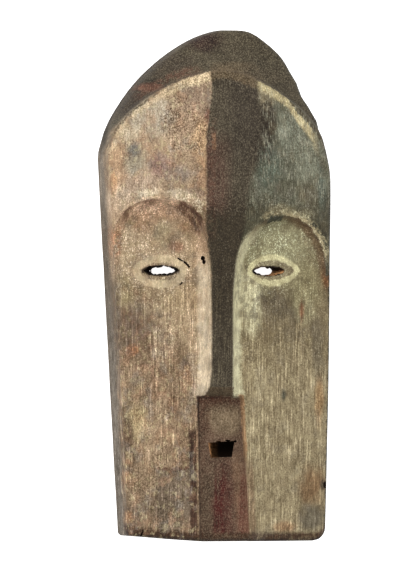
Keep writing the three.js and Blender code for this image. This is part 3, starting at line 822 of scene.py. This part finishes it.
across_nose = ramp(x, -4, 4)[:, None]
forehead = mix(flat_tone(LEFT_FOREHEAD), flat_tone(RIGHT_FOREHEAD), across_nose)
forehead = add_patches(forehead, PATCHES["forehead"])
cheek = mix(flat_tone(LEFT_CHEEK), flat_tone(RIGHT_CHEEK), across_nose)
cheek = add_patches(cheek, PATCHES["cheek"])
cap = add_patches(flat_tone(HAIR), PATCHES["cap"])
panel = add_patches(flat_tone(MOUTH_PANEL), PATCHES["panel"])
below_brows = np.where(y < PANEL["top"], 1, ramp(fields["brow"], 0, 1.5))
tone = mix(forehead, cheek, below_brows[:, None])
tone = mix(tone, panel, ramp(fields["panel"], -0.3, 0.3)[:, None])
tone = mix(tone, cap, ramp(fields["arch"], -0.3, 0.6)[:, None])
store("tone", np.column_stack((tone, np.ones(len(x)))), "FLOAT_COLOR")
print("darkest and lightest tone:", np.round(tone.min(), 3), np.round(tone.max(), 3))


# %% [markdown]
# ## Finishes
#
# Three finishes are needed. Worn paint, with some painted shade and painted light among its layers,
# covers the front and the walls, bare wood fills the hollow, and the pierced eyes, the mouth and the
# bores are nearly black inside, which is painted shade. Each could be one picture wrapped round the
# mask, but a picture blurs when seen close. Here the shader works everything out from the place on
# the surface in millimetres, so it is as sharp as the eye looks. Masks are multiplied, added and
# compared a great deal, and a small class lets that be written as arithmetic.

# %% Masks as arithmetic
def put(tree, socket, value):
    """Links a value to a socket, or sets a plain number or colour on it."""
    value = value.socket if isinstance(value, Value) else value
    if isinstance(value, bpy.types.NodeSocket):
        tree.links.new(value, socket)
    else:
        socket.default_value = value


def node(tree, kind, inputs=None, **settings):
    made = tree.nodes.new("ShaderNode" + kind)
    for name, value in settings.items():
        setattr(made, name, value)
    for name, value in (inputs or {}).items():
        put(tree, made.inputs[name], value)
    return made


def maths(tree, operation, a, b=0):
    return Value(tree, node(tree, "Math", {0: a, 1: b}, operation=operation).outputs[0])


class Value:
    """A number on the surface. Arithmetic on it adds nodes to its tree."""

    def __init__(self, tree, socket):
        self.tree, self.socket = tree, socket

    def __mul__(self, other):
        return maths(self.tree, "MULTIPLY", self, other)

    def __add__(self, other):
        return maths(self.tree, "ADD", self, other)

    def __sub__(self, other):
        return maths(self.tree, "SUBTRACT", self, other)

    def __rsub__(self, other):
        return maths(self.tree, "SUBTRACT", other, self)

    def __or__(self, other):
        """The larger of the two."""
        return maths(self.tree, "MAXIMUM", self, other)

    def __abs__(self):
        return maths(self.tree, "ABSOLUTE", self)

    def window(self, low, high):
        """0 below low and 1 above high, smooth between. It falls instead where low is above high."""
        ends = {"Value": self, "From Min": low, "From Max": high}
        if not isinstance(low, Value) and low > high:
            ends = {"Value": self, "From Min": high, "From Max": low, "To Min": 1, "To Max": 0}
        made = node(self.tree, "MapRange", ends, interpolation_type="SMOOTHSTEP")
        return Value(self.tree, made.outputs[0])

    def band(self, low, high, soft):
        """1 between low and high, fading over soft at both ends."""
        return self.window(low - soft, low + soft) * self.window(high + soft, high - soft)


# %% Noise, blends and node groups
def grainy(tree, at, size, detail=2, rough=0.55):
    """Noise around 0.5 whose bumps are about size millimetres wide, one number or one for each axis."""
    finer = [1 / float(n) for n in np.broadcast_to(size, 3)]
    scaled = node(tree, "VectorMath", {0: at, 1: finer}, operation="MULTIPLY").outputs[0]
    made = node(tree, "TexNoise", {"Vector": scaled, "Scale": 1, "Detail": detail, "Roughness": rough})
    return Value(tree, made.outputs["Fac"])


def moved(tree, at, step):
    return node(tree, "VectorMath", {0: at, 1: step}, operation="ADD").outputs[0]


def blend(tree, share, under, over, kind="MIX"):
    made = node(tree, "Mix", {0: share}, data_type="RGBA", blend_type=kind)
    for index, value in ((6, under), (7, over)):
        put(tree, made.inputs[index], (*value, 1) if isinstance(value, tuple) else value)
    return made.outputs[2]


def attribute(tree, name, output="Fac"):
    return Value(tree, node(tree, "Attribute", attribute_name=name).outputs[output])


def shared_effect(name, make, outputs, **numbers):
    """A node group. make turns a place in millimetres and some numbers into the named outputs."""
    tree = bpy.data.node_groups.new(name, "ShaderNodeTree")
    tree.interface.new_socket("at", in_out="INPUT", socket_type="NodeSocketVector")
    for socket, value in numbers.items():
        made = tree.interface.new_socket(socket, in_out="INPUT", socket_type="NodeSocketFloat")
        made.default_value = value
    for socket in outputs:
        tree.interface.new_socket(socket, in_out="OUTPUT", socket_type="NodeSocketFloat")
    inside = tree.nodes.new("NodeGroupInput").outputs
    out = tree.nodes.new("NodeGroupOutput").inputs
    results = make(tree, *(Value(tree, inside[socket]) for socket in ("at", *numbers)))
    for socket, value in zip(outputs, results):
        put(tree, out[socket], value)
    return tree


def use(tree, shared, **inputs):
    """Puts a node group in the tree, and gives its outputs by name."""
    made = tree.nodes.new("ShaderNodeGroup")
    made.node_tree = shared
    for name, value in inputs.items():
        put(tree, made.inputs[name], value)
    return {socket.name: Value(tree, socket) for socket in made.outputs}


# %% [markdown]
# ## Effects that the finishes share
#
# On the real mask the brush and the grain leave upright streaks, old ground has fallen out in small
# pits, crumbs of thick paint still stand, and no painted edge is clean. Paint and bare wood both show
# the streaks and the pits, so each effect is a node group that is built once. It puts out masks, and
# a height in millimetres for the bumps.

# %% Shared effects: grain, pitting and broken edges
def grain_marks(tree, at):
    """Streaks along the grain, pale where brush marks stand up and dark where pores lie open."""
    pale = grainy(tree, at, (0.45, 13, 3), 1, 0.5).window(0.55, 0.62)
    pale = pale * grainy(tree, at, (2.2, 8, 5), 3).window(0.4, 0.5)
    dark = grainy(tree, moved(tree, at, (31, 17, 5)), (0.5, 5, 3), 3, 0.65).window(0.53, 0.61)
    return pale, dark, pale * 0.05 - dark * 0.07


def pits_and_crumbs(tree, at, share):
    """Pits where the ground has fallen out, and crumbs of paint that are left standing."""
    level = share * 0.42 + (grainy(tree, at, (7, 11, 7)) - 0.5) * 0.3
    pits = 1 - grainy(tree, at, (0.48, 0.62, 0.48), 2, 0.7).window(level + 0.25, level + 0.31)
    crumbs = grainy(tree, moved(tree, at, (-13, 7, 23)), (0.45, 0.58, 0.45), 2, 0.7).window(0.5, 0.58)
    return pits, crumbs, crumbs * 0.06 - pits * 0.09


def uneven_edge(tree, at, distance, reach):
    """A distance in millimetres made uneven, so that a painted edge breaks up."""
    uneven = grainy(tree, at, (1.6, 2.6, 1.6)) + grainy(tree, at, (0.6, 1, 0.6), 1) * 0.8
    return (distance + (uneven - 0.9) * 2.2 * reach,)


grain = shared_effect("grain", grain_marks, ("pale", "dark", "height"))
pitting = shared_effect("pitting", pits_and_crumbs, ("pits", "crumbs", "height"), share=0.3)
broken = shared_effect("broken edge", uneven_edge, ("distance",), distance=0, reach=1)
print("shared effects:", [effect.name for effect in (grain, pitting, broken)])


# %% A material, and a coat that takes its paint
def plain(screen):
    return tuple(float(v) for v in linear(screen))


def new_material(name, roughness, specular):
    """A material, its tree, its shader's inputs, and the place on the surface in millimetres."""
    made = bpy.data.materials.new(name)
    made.use_nodes = True
    tree = made.node_tree
    inputs = tree.nodes["Principled BSDF"].inputs
    inputs["Roughness"].default_value = roughness
    inputs["Specular IOR Level"].default_value = specular
    metres = node(tree, "TexCoord").outputs["Object"]
    at = node(tree, "VectorMath", {0: metres, "Scale": 1000}, operation="SCALE").outputs[0]
    return made, tree, inputs, at


def raise_bumps(tree, inputs, height):
    bump = node(tree, "Bump", {"Height": height, "Distance": MM, "Strength": 0.8})
    put(tree, inputs["Normal"], bump.outputs[0])


class Coat:
    """A colour that takes one layer of paint after another."""

    def __init__(self, tree, colour):
        self.tree, self.colour, self.layers = tree, colour, 0

    def cover(self, share, over):
        self.colour = blend(self.tree, share, self.colour, over)
        self.layers += 1

    def lay(self, share, screen, strength=1):
        """Covers a share of the surface with a screen colour from 0 to 255."""
        self.cover(share * strength, plain(screen))

    def shade(self, share, factors, strength):
        """Multiplies the colour over a share of the surface."""
        shaded = blend(self.tree, 1, self.colour, factors, "MULTIPLY")
        self.cover(share * strength, shaded)


# %% [markdown]
# ## Worn paint, layer by layer
#
# The painter put one earth colour over another, and what lies on top covers what lies below. The
# shader does the same: each line lays a colour where its mask is 1. A mask is a product of bands.
# `brow.band(0.3, 3.4, 0.7)` is a strip that starts 0.3 mm below the brow and ends 3.4 mm below it,
# `across` and `up` are millimetres from the middle, and `lumps` breaks a strip into crumbs.

# %% Where the lines and areas of the paint lie
# This finish holds the paint and its wear, and also the painted shade and painted light laid in the cells
# below.
worn_paint_and_painted_light, tree, inputs, at = new_material("worn_paint_and_painted_light", 0.88, 0.3)
across, up, _ = (Value(tree, socket) for socket in node(tree, "SeparateXYZ", {0: at}).outputs)
coat = Coat(tree, attribute(tree, "tone", "Color"))


def ragged(name, reach):
    return use(tree, broken, at=at, distance=attribute(tree, name), reach=reach)["distance"]


arch, brow = ragged("arch", 0.9), ragged("brow", 0.8)
outline, stripe = ragged("outline", 0.6), ragged("stripe", 0.4)
ring, slit, panel_edge, foot = (ragged(name, 0.5) for name in ("ring", "slit", "panel", "foot"))
on_left, on_right = across.window(1, -3), across.window(-3, 1)
on_face, off_stripe, upper = arch.window(0.3, -0.3), stripe.window(0.6, -0.6), up.window(6, 12)
lumps = grainy(tree, at, (1.6, 1.9, 1.6), 3, 0.7).window(0.42, 0.52)
print("nodes for the drawing's lines:", len(tree.nodes))

# %% The shade under each brow, with its chisel marks
hatch = grainy(tree, at, (0.8, 4.5, 4.5), 2, 0.6).window(0.42, 0.56)
high_up = up.window(15, 21)
under_brow = brow.band(0.3, 3.4, 0.7) * high_up * on_face * on_left
# The pale layer under the left brow lightens the ledge's real shade: painted light.
coat.lay(under_brow, (236, 200, 168), 0.8)
chiselled = (across.band(-35, -32, 0.8) | across.band(-28.5, -23, 1.5)) * 0.6 | across.band(-16, -7.5, 1.2)
coat.lay(under_brow * chiselled, (132, 98, 78), 0.4)
coat.lay(under_brow * hatch * chiselled, (98, 63, 48), 0.8)
coat.lay(brow.band(0.15, 1.1, 0.3) * high_up * on_left * chiselled, (96, 62, 48), 0.7)
coat.lay(brow.band(0.3, 1.8, 0.5) * high_up * on_right * on_face, (128, 104, 78), 0.5)
coat.lay(brow.band(0.2, 2.6, 0.4) * across.window(21, 27) * on_face * up.window(0, 5), (120, 92, 66), 0.6)
print("layers with the shade under the brows:", coat.layers)

# %% The cream crumbs and the pale line above each brow
above = upper * on_face * lumps
left_blots = across.band(-17.5, -8, 1) | across.band(-32, -24, 1.5) * 0.8
coat.lay(brow.band(-3.4, -0.2, 0.5) * above * left_blots, (214, 198, 168), 0.8)
coat.lay(brow.band(-2.3, -0.2, 0.4) * above * across.band(13, 40, 2), (204, 196, 160), 0.85)
# The two thin pale lines on the brows' crests are cream paint, made brighter as a painted highlight of the
# crest.
coat.lay(brow.band(-0.6, 0.1, 0.15) * upper * across.band(-38, -23, 1), (226, 198, 166), 0.9)
coat.lay(brow.band(-0.8, 0.1, 0.2) * upper * across.band(22, 38, 1), (222, 210, 172), 0.95)
coat.lay(brow.band(0.1, 1.9, 0.3) * across.band(15.5, 21, 0.5) * up.window(20, 22), (78, 86, 76), 0.9)
print("layers with the brows:", coat.layers)

# %% The nose's pale flanks, and a knot at the left
near_nose = up.window(-40.5, -37) * across.band(-14, 14, 2)
flank_left = brow.band(-0.1, 3.8, 1.2) * up.window(13, 4) * near_nose * on_left
flank_right = brow.band(-0.1, 4, 1.1) * up.window(23, 15) * near_nose * on_right
coat.lay(flank_left, (232, 214, 184), 0.97)
coat.lay(flank_right, (240, 234, 194), 0.95)
KNOT = (-34.9, 18.2, 14)
from_knot = Value(tree, node(tree, "VectorMath", {0: at, 1: KNOT}, operation="DISTANCE").outputs["Value"])
coat.lay(from_knot.band(0.5, 1.1, 0.25), (84, 62, 48), 0.8)
print("layers with the nose:", coat.layers)

# %% Ground that shows where the cheeks' paint came off
blotches = grainy(tree, at, (2.1, 2.9, 2.1), 3, 0.6).window(0.5, 0.55) * attribute(tree, "blotched")
coat.lay(blotches * on_right, (100, 94, 82), 0.9)
coat.lay(blotches * on_left, (122, 94, 76), 0.6)
torn = up + grainy(tree, at, (1.4, 2.4, 1.4)) * 5
beside_panel = across.band(-23, -8.6, 1.6)
coat.lay(torn.window(-60.6, -61.6) * beside_panel * up.window(-88, -80), (106, 92, 76), 0.75)
coat.lay(torn.window(-60.2, -61) * torn.window(-62.8, -61.6) * beside_panel, (92, 60, 44), 0.7)
print("layers with the cheeks:", coat.layers)

# %% The ring round each eye, the grey inside it, and the worn lip of the slit
coat.lay(ring.window(0.4, -0.4) * on_face, (158, 142, 120), 0.5)
ring_left = ring.band(-2.4, 0.4, 0.4) * on_left
ring_right = ring.band(-1.9, 0.3, 0.4) * on_right
coat.lay(ring_left, (216, 196, 160), 0.95)
coat.lay(ring_right, (226, 220, 174), 0.95)
coat.lay(slit.window(0.5, 0.05), (52, 38, 28), 0.95)
print("layers with the eyes:", coat.layers)

# %% The dark stripe from the forehead down the nose
striped = stripe.window(-0.5, 0.5) * brow.window(1.2, 0.2) * on_face
coat.lay(striped, (72, 64, 51))
coat.lay(striped * up.window(34, 52) * across.window(-3, 6), (54, 46, 38), 0.7)
coat.lay(striped * up.window(22, 30) * up.window(56, 46) * across.window(4, -3), (88, 60, 50), 0.6)
crackle = stripe.band(-1.6, 0.6, 0.5) * on_right * lumps * up.window(40, 47) * up.window(68, 62)
coat.lay(crackle, (44, 36, 27), 0.85)
chip = across.band(-5, -3.6, 0.3) * up.window(46.5, 48) * up.window(53.5, 52) * lumps
coat.lay(chip, (150, 112, 80), 0.6)
rust_edge = stripe.band(0.3, 3.2, 0.8) * on_left * on_face * up.window(12, 22) * up.window(62, 52)
coat.lay(rust_edge * lumps, (94, 64, 50), 0.5)
print("layers with the stripe:", coat.layers)

# %% The pale crest along the forehead's edge
crest = arch + (across.window(22, 28) * 1.9 + across.window(-19, -24) * 0.9)
low_side = -1.2 - across.window(-26, -18) * 1.4
pale_crest = (crest - low_side).window(-0.9, 0.7) * crest.window(0.45, -0.25) * off_stripe
pale_crest = pale_crest * (1 - across.band(-40, -20, 2) * 0.45) * across.window(36, 31)
coat.lay(crest.window(0, 0.6) * on_face * abs(across).window(19, 24), (76, 66, 50), 0.85)
coat.lay(pale_crest * on_left, (202, 180, 144), 0.95)
coat.lay(pale_crest * on_right, (186, 171, 130), 0.95)
coat.lay(arch.band(-2.6, 1.4, 0.8) * stripe.window(-0.6, 0.6), (100, 84, 62), 0.8)
coat.lay(arch.band(0.8, 3.6, 0.8) * across.band(-29, -9, 2.5) * lumps, (92, 60, 46), 0.6)
scratches = grainy(tree, at, (0.45, 3.4, 2), 3, 0.65).window(0.53, 0.6) * on_right * on_face
coat.lay(scratches * brow.window(0, -1) * up.window(20, 26) * off_stripe, (178, 174, 150), 0.4)
print("layers with the forehead's edge:", coat.layers)

# %% The nose's underside, the lines round the mouth panel, and painted shadow and highlight in the panel
under_nose = up.window(-34.9, -35.6) * panel_edge.window(0.2, -0.2) * brow.window(0.6, -0.2)
coat.lay(under_nose * up.window(-39.2, -38.4), (86, 70, 50), 0.9)
panel_left = across.window(0.5, -1.5)
# Painted shadow along the panel's left inner edge, dark at the top and fainter lower down.
shaded_left_edge = panel_edge.band(-0.25, 0.8, 0.3) * panel_left
coat.lay(shaded_left_edge * up.window(-52, -46), (52, 30, 20), 0.9)
coat.lay(shaded_left_edge * up.window(-46, -52), (84, 64, 50), 0.6)
low_down = up.window(-58, -66)
coat.lay(panel_edge.band(-1, -0.3, 0.2) * panel_left * low_down, (140, 116, 88), 0.6)
# Painted shadow along the panel's top edge, under the nose.
coat.lay(panel_edge.band(-0.2, 1.6, 0.4) * up.window(-41.5, -40) * lumps, (72, 40, 26), 0.75)
# A painted highlight on the upper part of the panel's right inner wall, which faces the light.
coat.lay(panel_edge.band(-0.6, 0.5, 0.3) * across.window(5, 6.5) * up.window(-64, -56), (160, 124, 88), 0.8)
coat.lay(panel_edge.band(-2.4, -0.2, 0.6) * across.window(5, 7) * low_down, (122, 96, 72), 0.6)
coat.lay(panel_edge.band(-3.3, -0.8, 0.4) * across.window(-7, -8) * up.window(-48, -52), (66, 44, 32), 0.95)
print("layers with the mouth panel:", coat.layers)

# %% Rubbed arrises, painted shade on the right edge, the red runs on the panel, the foot, and the walls with painted shade low down
coat.lay(outline.band(-1, 0.5, 0.4) * on_face, (104, 86, 66), 0.5)
coat.lay(across.window(-35, -38) * up.window(-2, 6) * up.window(34, 26), (222, 194, 164), 0.6)
coat.lay(across.window(-34.5, -36.5) * up.window(9, 12) * up.window(22, 19) * lumps, (214, 152, 114), 0.6)
# A dark line along the right edge, which turns away from the light: painted shade.
coat.lay(outline.window(0.9, 0.3) * across.window(18, 26), (60, 60, 52), 0.9)
in_panel_paint = panel_edge.window(-0.3, 0.3)
red_run = grainy(tree, at, (0.9, 9, 3), 2, 0.6).window(0.4, 0.52) * in_panel_paint
runs = across.band(-2.2, 1.8, 0.8) | across.band(6.8, 9, 0.6) * 0.6
coat.lay(runs * red_run * up.window(-60, -70), (70, 22, 18), 0.85)
coat.lay(foot.window(4, 2.2), (66, 45, 30), 0.95)
coat.lay(foot.window(1.4, 0.5), (44, 31, 21), 0.9)
wall = attribute(tree, "wall")
coat.lay(wall, (118, 108, 95), 0.95)
# The walls turn darker towards the chin, against the light table's glow: painted shade.
coat.lay(wall * up.window(10, -60), (104, 95, 83), 0.9)
coat.lay(wall * up.window(42, 54), (46, 40, 31), 0.95)
print("layers with the foot and the walls:", coat.layers)

# %% [markdown]
# ## Wear over all the paint
#
# Handling and dry air mark the mask without regard to colour: soft spots, mottling, streaks of the
# grain, crumbs and pits. They come last and multiply what lies below, so a dark stripe stays dark and
# a cream cheek stays cream. The smooth rings and the flanks of the nose take less of them.

# %% Spots and mottling
streaks = use(tree, grain, at=at)
worn = use(tree, pitting, at=at, share=attribute(tree, "pitted"))
smooth = flank_left | flank_right | ring_left | ring_right * 0.8
granular = attribute(tree, "crumbly") * (1 - smooth * 0.6)
streaky = attribute(tree, "streaky") * (1 - smooth * 0.7)
painted_front = 1 - wall
ground = painted_front * off_stripe * on_face * panel_edge.window(0.3, -0.3) * (1 - on_right * 0.6)
apart = moved(tree, at, (41, -23, 11))
warm_spots = grainy(tree, at, (4.2, 6, 4.2), 3, 0.65).window(0.5, 0.65) * ground
cool_spots = grainy(tree, apart, (4.6, 6, 4.6), 3, 0.65).window(0.5, 0.65) * ground
yellow_spots = grainy(tree, apart, (1.7, 2.4, 1.7), 2, 0.6).window(0.54, 0.64) * ground
coat.lay(warm_spots * on_left, (172, 134, 102), 0.3)
coat.lay(warm_spots * on_right, (140, 122, 92), 0.35)
coat.lay(cool_spots, (126, 120, 110), 0.35)
coat.lay(yellow_spots * (on_left | up.window(24, 16)), (190, 176, 134), 0.28)
mottled = grainy(tree, at, (2.4, 4, 2.4), 4, 0.7).window(0.25, 0.75)
mottling = blend(tree, mottled, (0.72, 0.69, 0.67), (1.28, 1.30, 1.32))
coat.colour = blend(tree, 1, coat.colour, mottling, "MULTIPLY")
print("layers with the spots:", coat.layers)

# %% Streaks, crumbs and pits
dark_ground = striped | arch.window(-0.2, 0.6) | in_panel_paint
coat.lay(worn["crumbs"] * dark_ground * painted_front, (134, 122, 98), 0.2)
coat.lay(streaks["pale"] * striped, (128, 118, 95), streaky * 0.4)
coat.shade(streaks["pale"] * streaky * off_stripe, (1.8, 1.85, 1.95), 0.85)
coat.shade(streaks["dark"] * streaky, (0.52, 0.48, 0.42), 0.7)
coat.shade(worn["crumbs"] * granular, (1.78, 1.84, 1.94), 0.9)
coat.shade(worn["pits"] * granular, (0.38, 0.34, 0.28), 0.95)
put(tree, inputs["Base Color"], coat.colour)
raise_bumps(tree, inputs, streaks["height"] + worn["height"] + grainy(tree, at, 0.45) * 0.08)
print("worn paint:", coat.layers, "layers,", len(tree.nodes), "nodes")

# %% [markdown]
# ## Bare wood, and dark wood inside the cuts as painted shade
#
# Nobody painted the hollow. It is light brown wood with open pores, a little darker where it pitted.
# The insides of the cuts are nearly black, which is painted shade. Two places that the light reaches
# through the opening, the lower left of the mouth and a spot in the right eye, show raw wood painted
# lighter than the bare wood, which is painted light.

# %% Bare wood
bare_wood, tree, inputs, at = new_material("bare_wood", 0.8, 0.3)
streaks = use(tree, grain, at=at)
worn = use(tree, pitting, at=at, share=0.25)
tones = grainy(tree, at, (5, 16, 5), 3, 0.6).window(0.3, 0.7)
coat = Coat(tree, blend(tree, tones, plain((112, 78, 50)), plain((146, 108, 72))))
coat.lay(streaks["dark"], (72, 48, 32), 0.8)
coat.lay(streaks["pale"], (178, 140, 98), 0.35)
coat.lay(worn["pits"], (62, 42, 30), 0.5)
put(tree, inputs["Base Color"], coat.colour)
raise_bumps(tree, inputs, streaks["height"] + worn["height"])
print("bare wood:", coat.layers, "layers,", len(tree.nodes), "nodes")

# %% Dark wood inside the pierced and bored cuts as painted shade, with raw wood there as painted light
shaded_cut_wood, tree, inputs, at = new_material("shaded_cut_wood", 0.9, 0.1)
across, up, _ = (Value(tree, socket) for socket in node(tree, "SeparateXYZ", {0: at}).outputs)
flecked = grainy(tree, at, (1.2, 1, 3)).window(0.4, 0.6)
in_mouth = up.window(-63, -61) * up.window(-40, -50) * across.window(1.5, -4)
in_right_eye = across.window(14, 16.5) * up.window(5.6, 4.4) * up.window(0, 2)
# Raw wood at the mouth and the right eye is painted lighter than bare wood, as painted light; the rest of
# the cuts is nearly black, as painted shade.
lit_raw_wood = blend(tree, flecked, plain((150, 106, 70)), plain((228, 172, 118)))
put(tree, inputs["Base Color"], blend(tree, in_mouth | in_right_eye, plain((34, 24, 18)), lit_raw_wood))
print("materials:", worn_paint_and_painted_light.name, bare_wood.name, shaded_cut_wood.name)

# %% [markdown]
# ## Which finish goes where
#
# How strongly the streaks, the pits, the crumbs and the blotches show differs over the face: the
# grain shows most below the eyes, the crumbs round them. Such strengths change slowly, so they are
# kept on the mesh as attributes that the shader reads. After that each face is given its finish by
# the part that it belongs to, and the shading turns smooth except over sharp edges.

# %% Strength of the streaks, pits, crumbs and blotches
streaky = mix(1.0, 0.3, ramp(y, -20, 15)) * mix(1.0, 0.12, ramp(fields["panel"], -0.5, 0.5))
streaky = mix(streaky, 0.1, ramp(fields["arch"], -0.5, 1))
store("streaky", streaky)
pitted = 0.35 + 0.45 * ramp(y, -38, -8) * (1 - ramp(y, 22, 34)) + 0.1 * noise(x, y, z, 8, 12)
store("pitted", pitted)

# x, y, half width, half height, strength
CRUMBLY = (
    (0, -70, 60, 34, 0.78), (24, -60, 22, 46, 0.48), (0, 10, 60, 22, 0.95),
    (-13, 56, 10, 11, 1.15), (9, -6, 6, 13, 0.55), (0, 82, 50, 14, 1.0),
)
BLOTCHED = (
    (15, -8, 9, 8, 0.55), (24, -15, 10, 9, 0.25), (9, -2, 6, 12, 0.4),
    (-26, -18, 12, 16, 0.8), (-17, 52, 14, 14, 0.5), (-14, -45, 8, 20, 0.5),
)
crumbly = np.full(len(x), 0.68)
for *place, strength in CRUMBLY:
    crumbly = mix(crumbly, strength, 1 - ramp(oval(*place), 0.7, 1.1))
store("crumbly", crumbly)
blotched = np.zeros(len(x))
for *place, strength in BLOTCHED:
    blotched = np.maximum(blotched, strength * (1 - ramp(oval(*place), 0.6, 1.2)))
store("blotched", blotched)
wall_only = touching(mask, WALL) & ~touching(mask, FRONT)
below_arris = front_height(x, y, {**fields, "outline": np.zeros(len(x))}) - z
store("wall", wall_only * ramp(below_arris, 2, 12))
print("attributes:", [each.name for each in mask.data.attributes if not each.name.startswith(".")])

# %% Give each face its finish
SMOOTH_BELOW = math.radians(50)

part = part_of_faces(mask)
normals = np.empty(len(part) * 3)
mask.data.polygons.foreach_get("normal", normals)
rim_of_back = normals.reshape(-1, 3)[:, 2] < -0.95
painted = ((part == FRONT) | (part == WALL)) & ~rim_of_back
for material in (worn_paint_and_painted_light, bare_wood, shaded_cut_wood):
    mask.data.materials.append(material)
# Pierced and bored faces take the dark wood that paints the shade inside the cuts.
shaded_cuts = (part == PIERCED) | (part == BORED)
mask.data.polygons.foreach_set("material_index", np.where(painted, 0, np.where(shaded_cuts, 2, 1)))
only(mask)
bpy.ops.object.shade_smooth_by_angle(angle=SMOOTH_BELOW)
print("painted faces:", int(painted.sum()), "bare faces:", int((~painted).sum()))

# %% [markdown]
# ## Light
#
# The mask lies on a sheet that glows white, as on a light table, so the background is clean and the
# slits of the eyes show white. A wide soft light stands at the upper left, and a pale sky fills in.

# %% Light table, key light and sky
bpy.ops.mesh.primitive_plane_add(size=5, location=(0, 0, -0.0002))
floor = bpy.context.active_object
floor.name = "light_table"
white = bpy.data.materials.new("light_table")
white.use_nodes = True
glow = white.node_tree.nodes["Principled BSDF"]
glow.inputs["Base Color"].default_value = (0.8, 0.8, 0.8, 1)
glow.inputs["Emission Color"].default_value = (1, 1, 1, 1)
seen = node(white.node_tree, "LightPath").outputs["Is Camera Ray"]
brightness = Value(white.node_tree, seen).window(-1, 1)
put(white.node_tree, glow.inputs["Emission Strength"], brightness)
floor.data.materials.append(white)

key_data = bpy.data.lights.new("key", "AREA")
key_data.size = 0.5
key_data.energy = 8.5
key_data.color = (1.0, 0.98, 0.95)
key = bpy.data.objects.new("key", key_data)
bpy.context.collection.objects.link(key)
key.location = (-0.5, 0.5, 1.15)
key.rotation_euler = key.location.to_track_quat("Z", "Y").to_euler()

world = bpy.data.worlds.new("sky")
bpy.context.scene.world = world
world.use_nodes = True
world.node_tree.nodes["Background"].inputs["Color"].default_value = (1, 1, 1, 1)
world.node_tree.nodes["Background"].inputs["Strength"].default_value = 0.75
bpy.context.scene.view_settings.view_transform = "Standard"
print("lights:", key.name, world.name, "and the", floor.name)
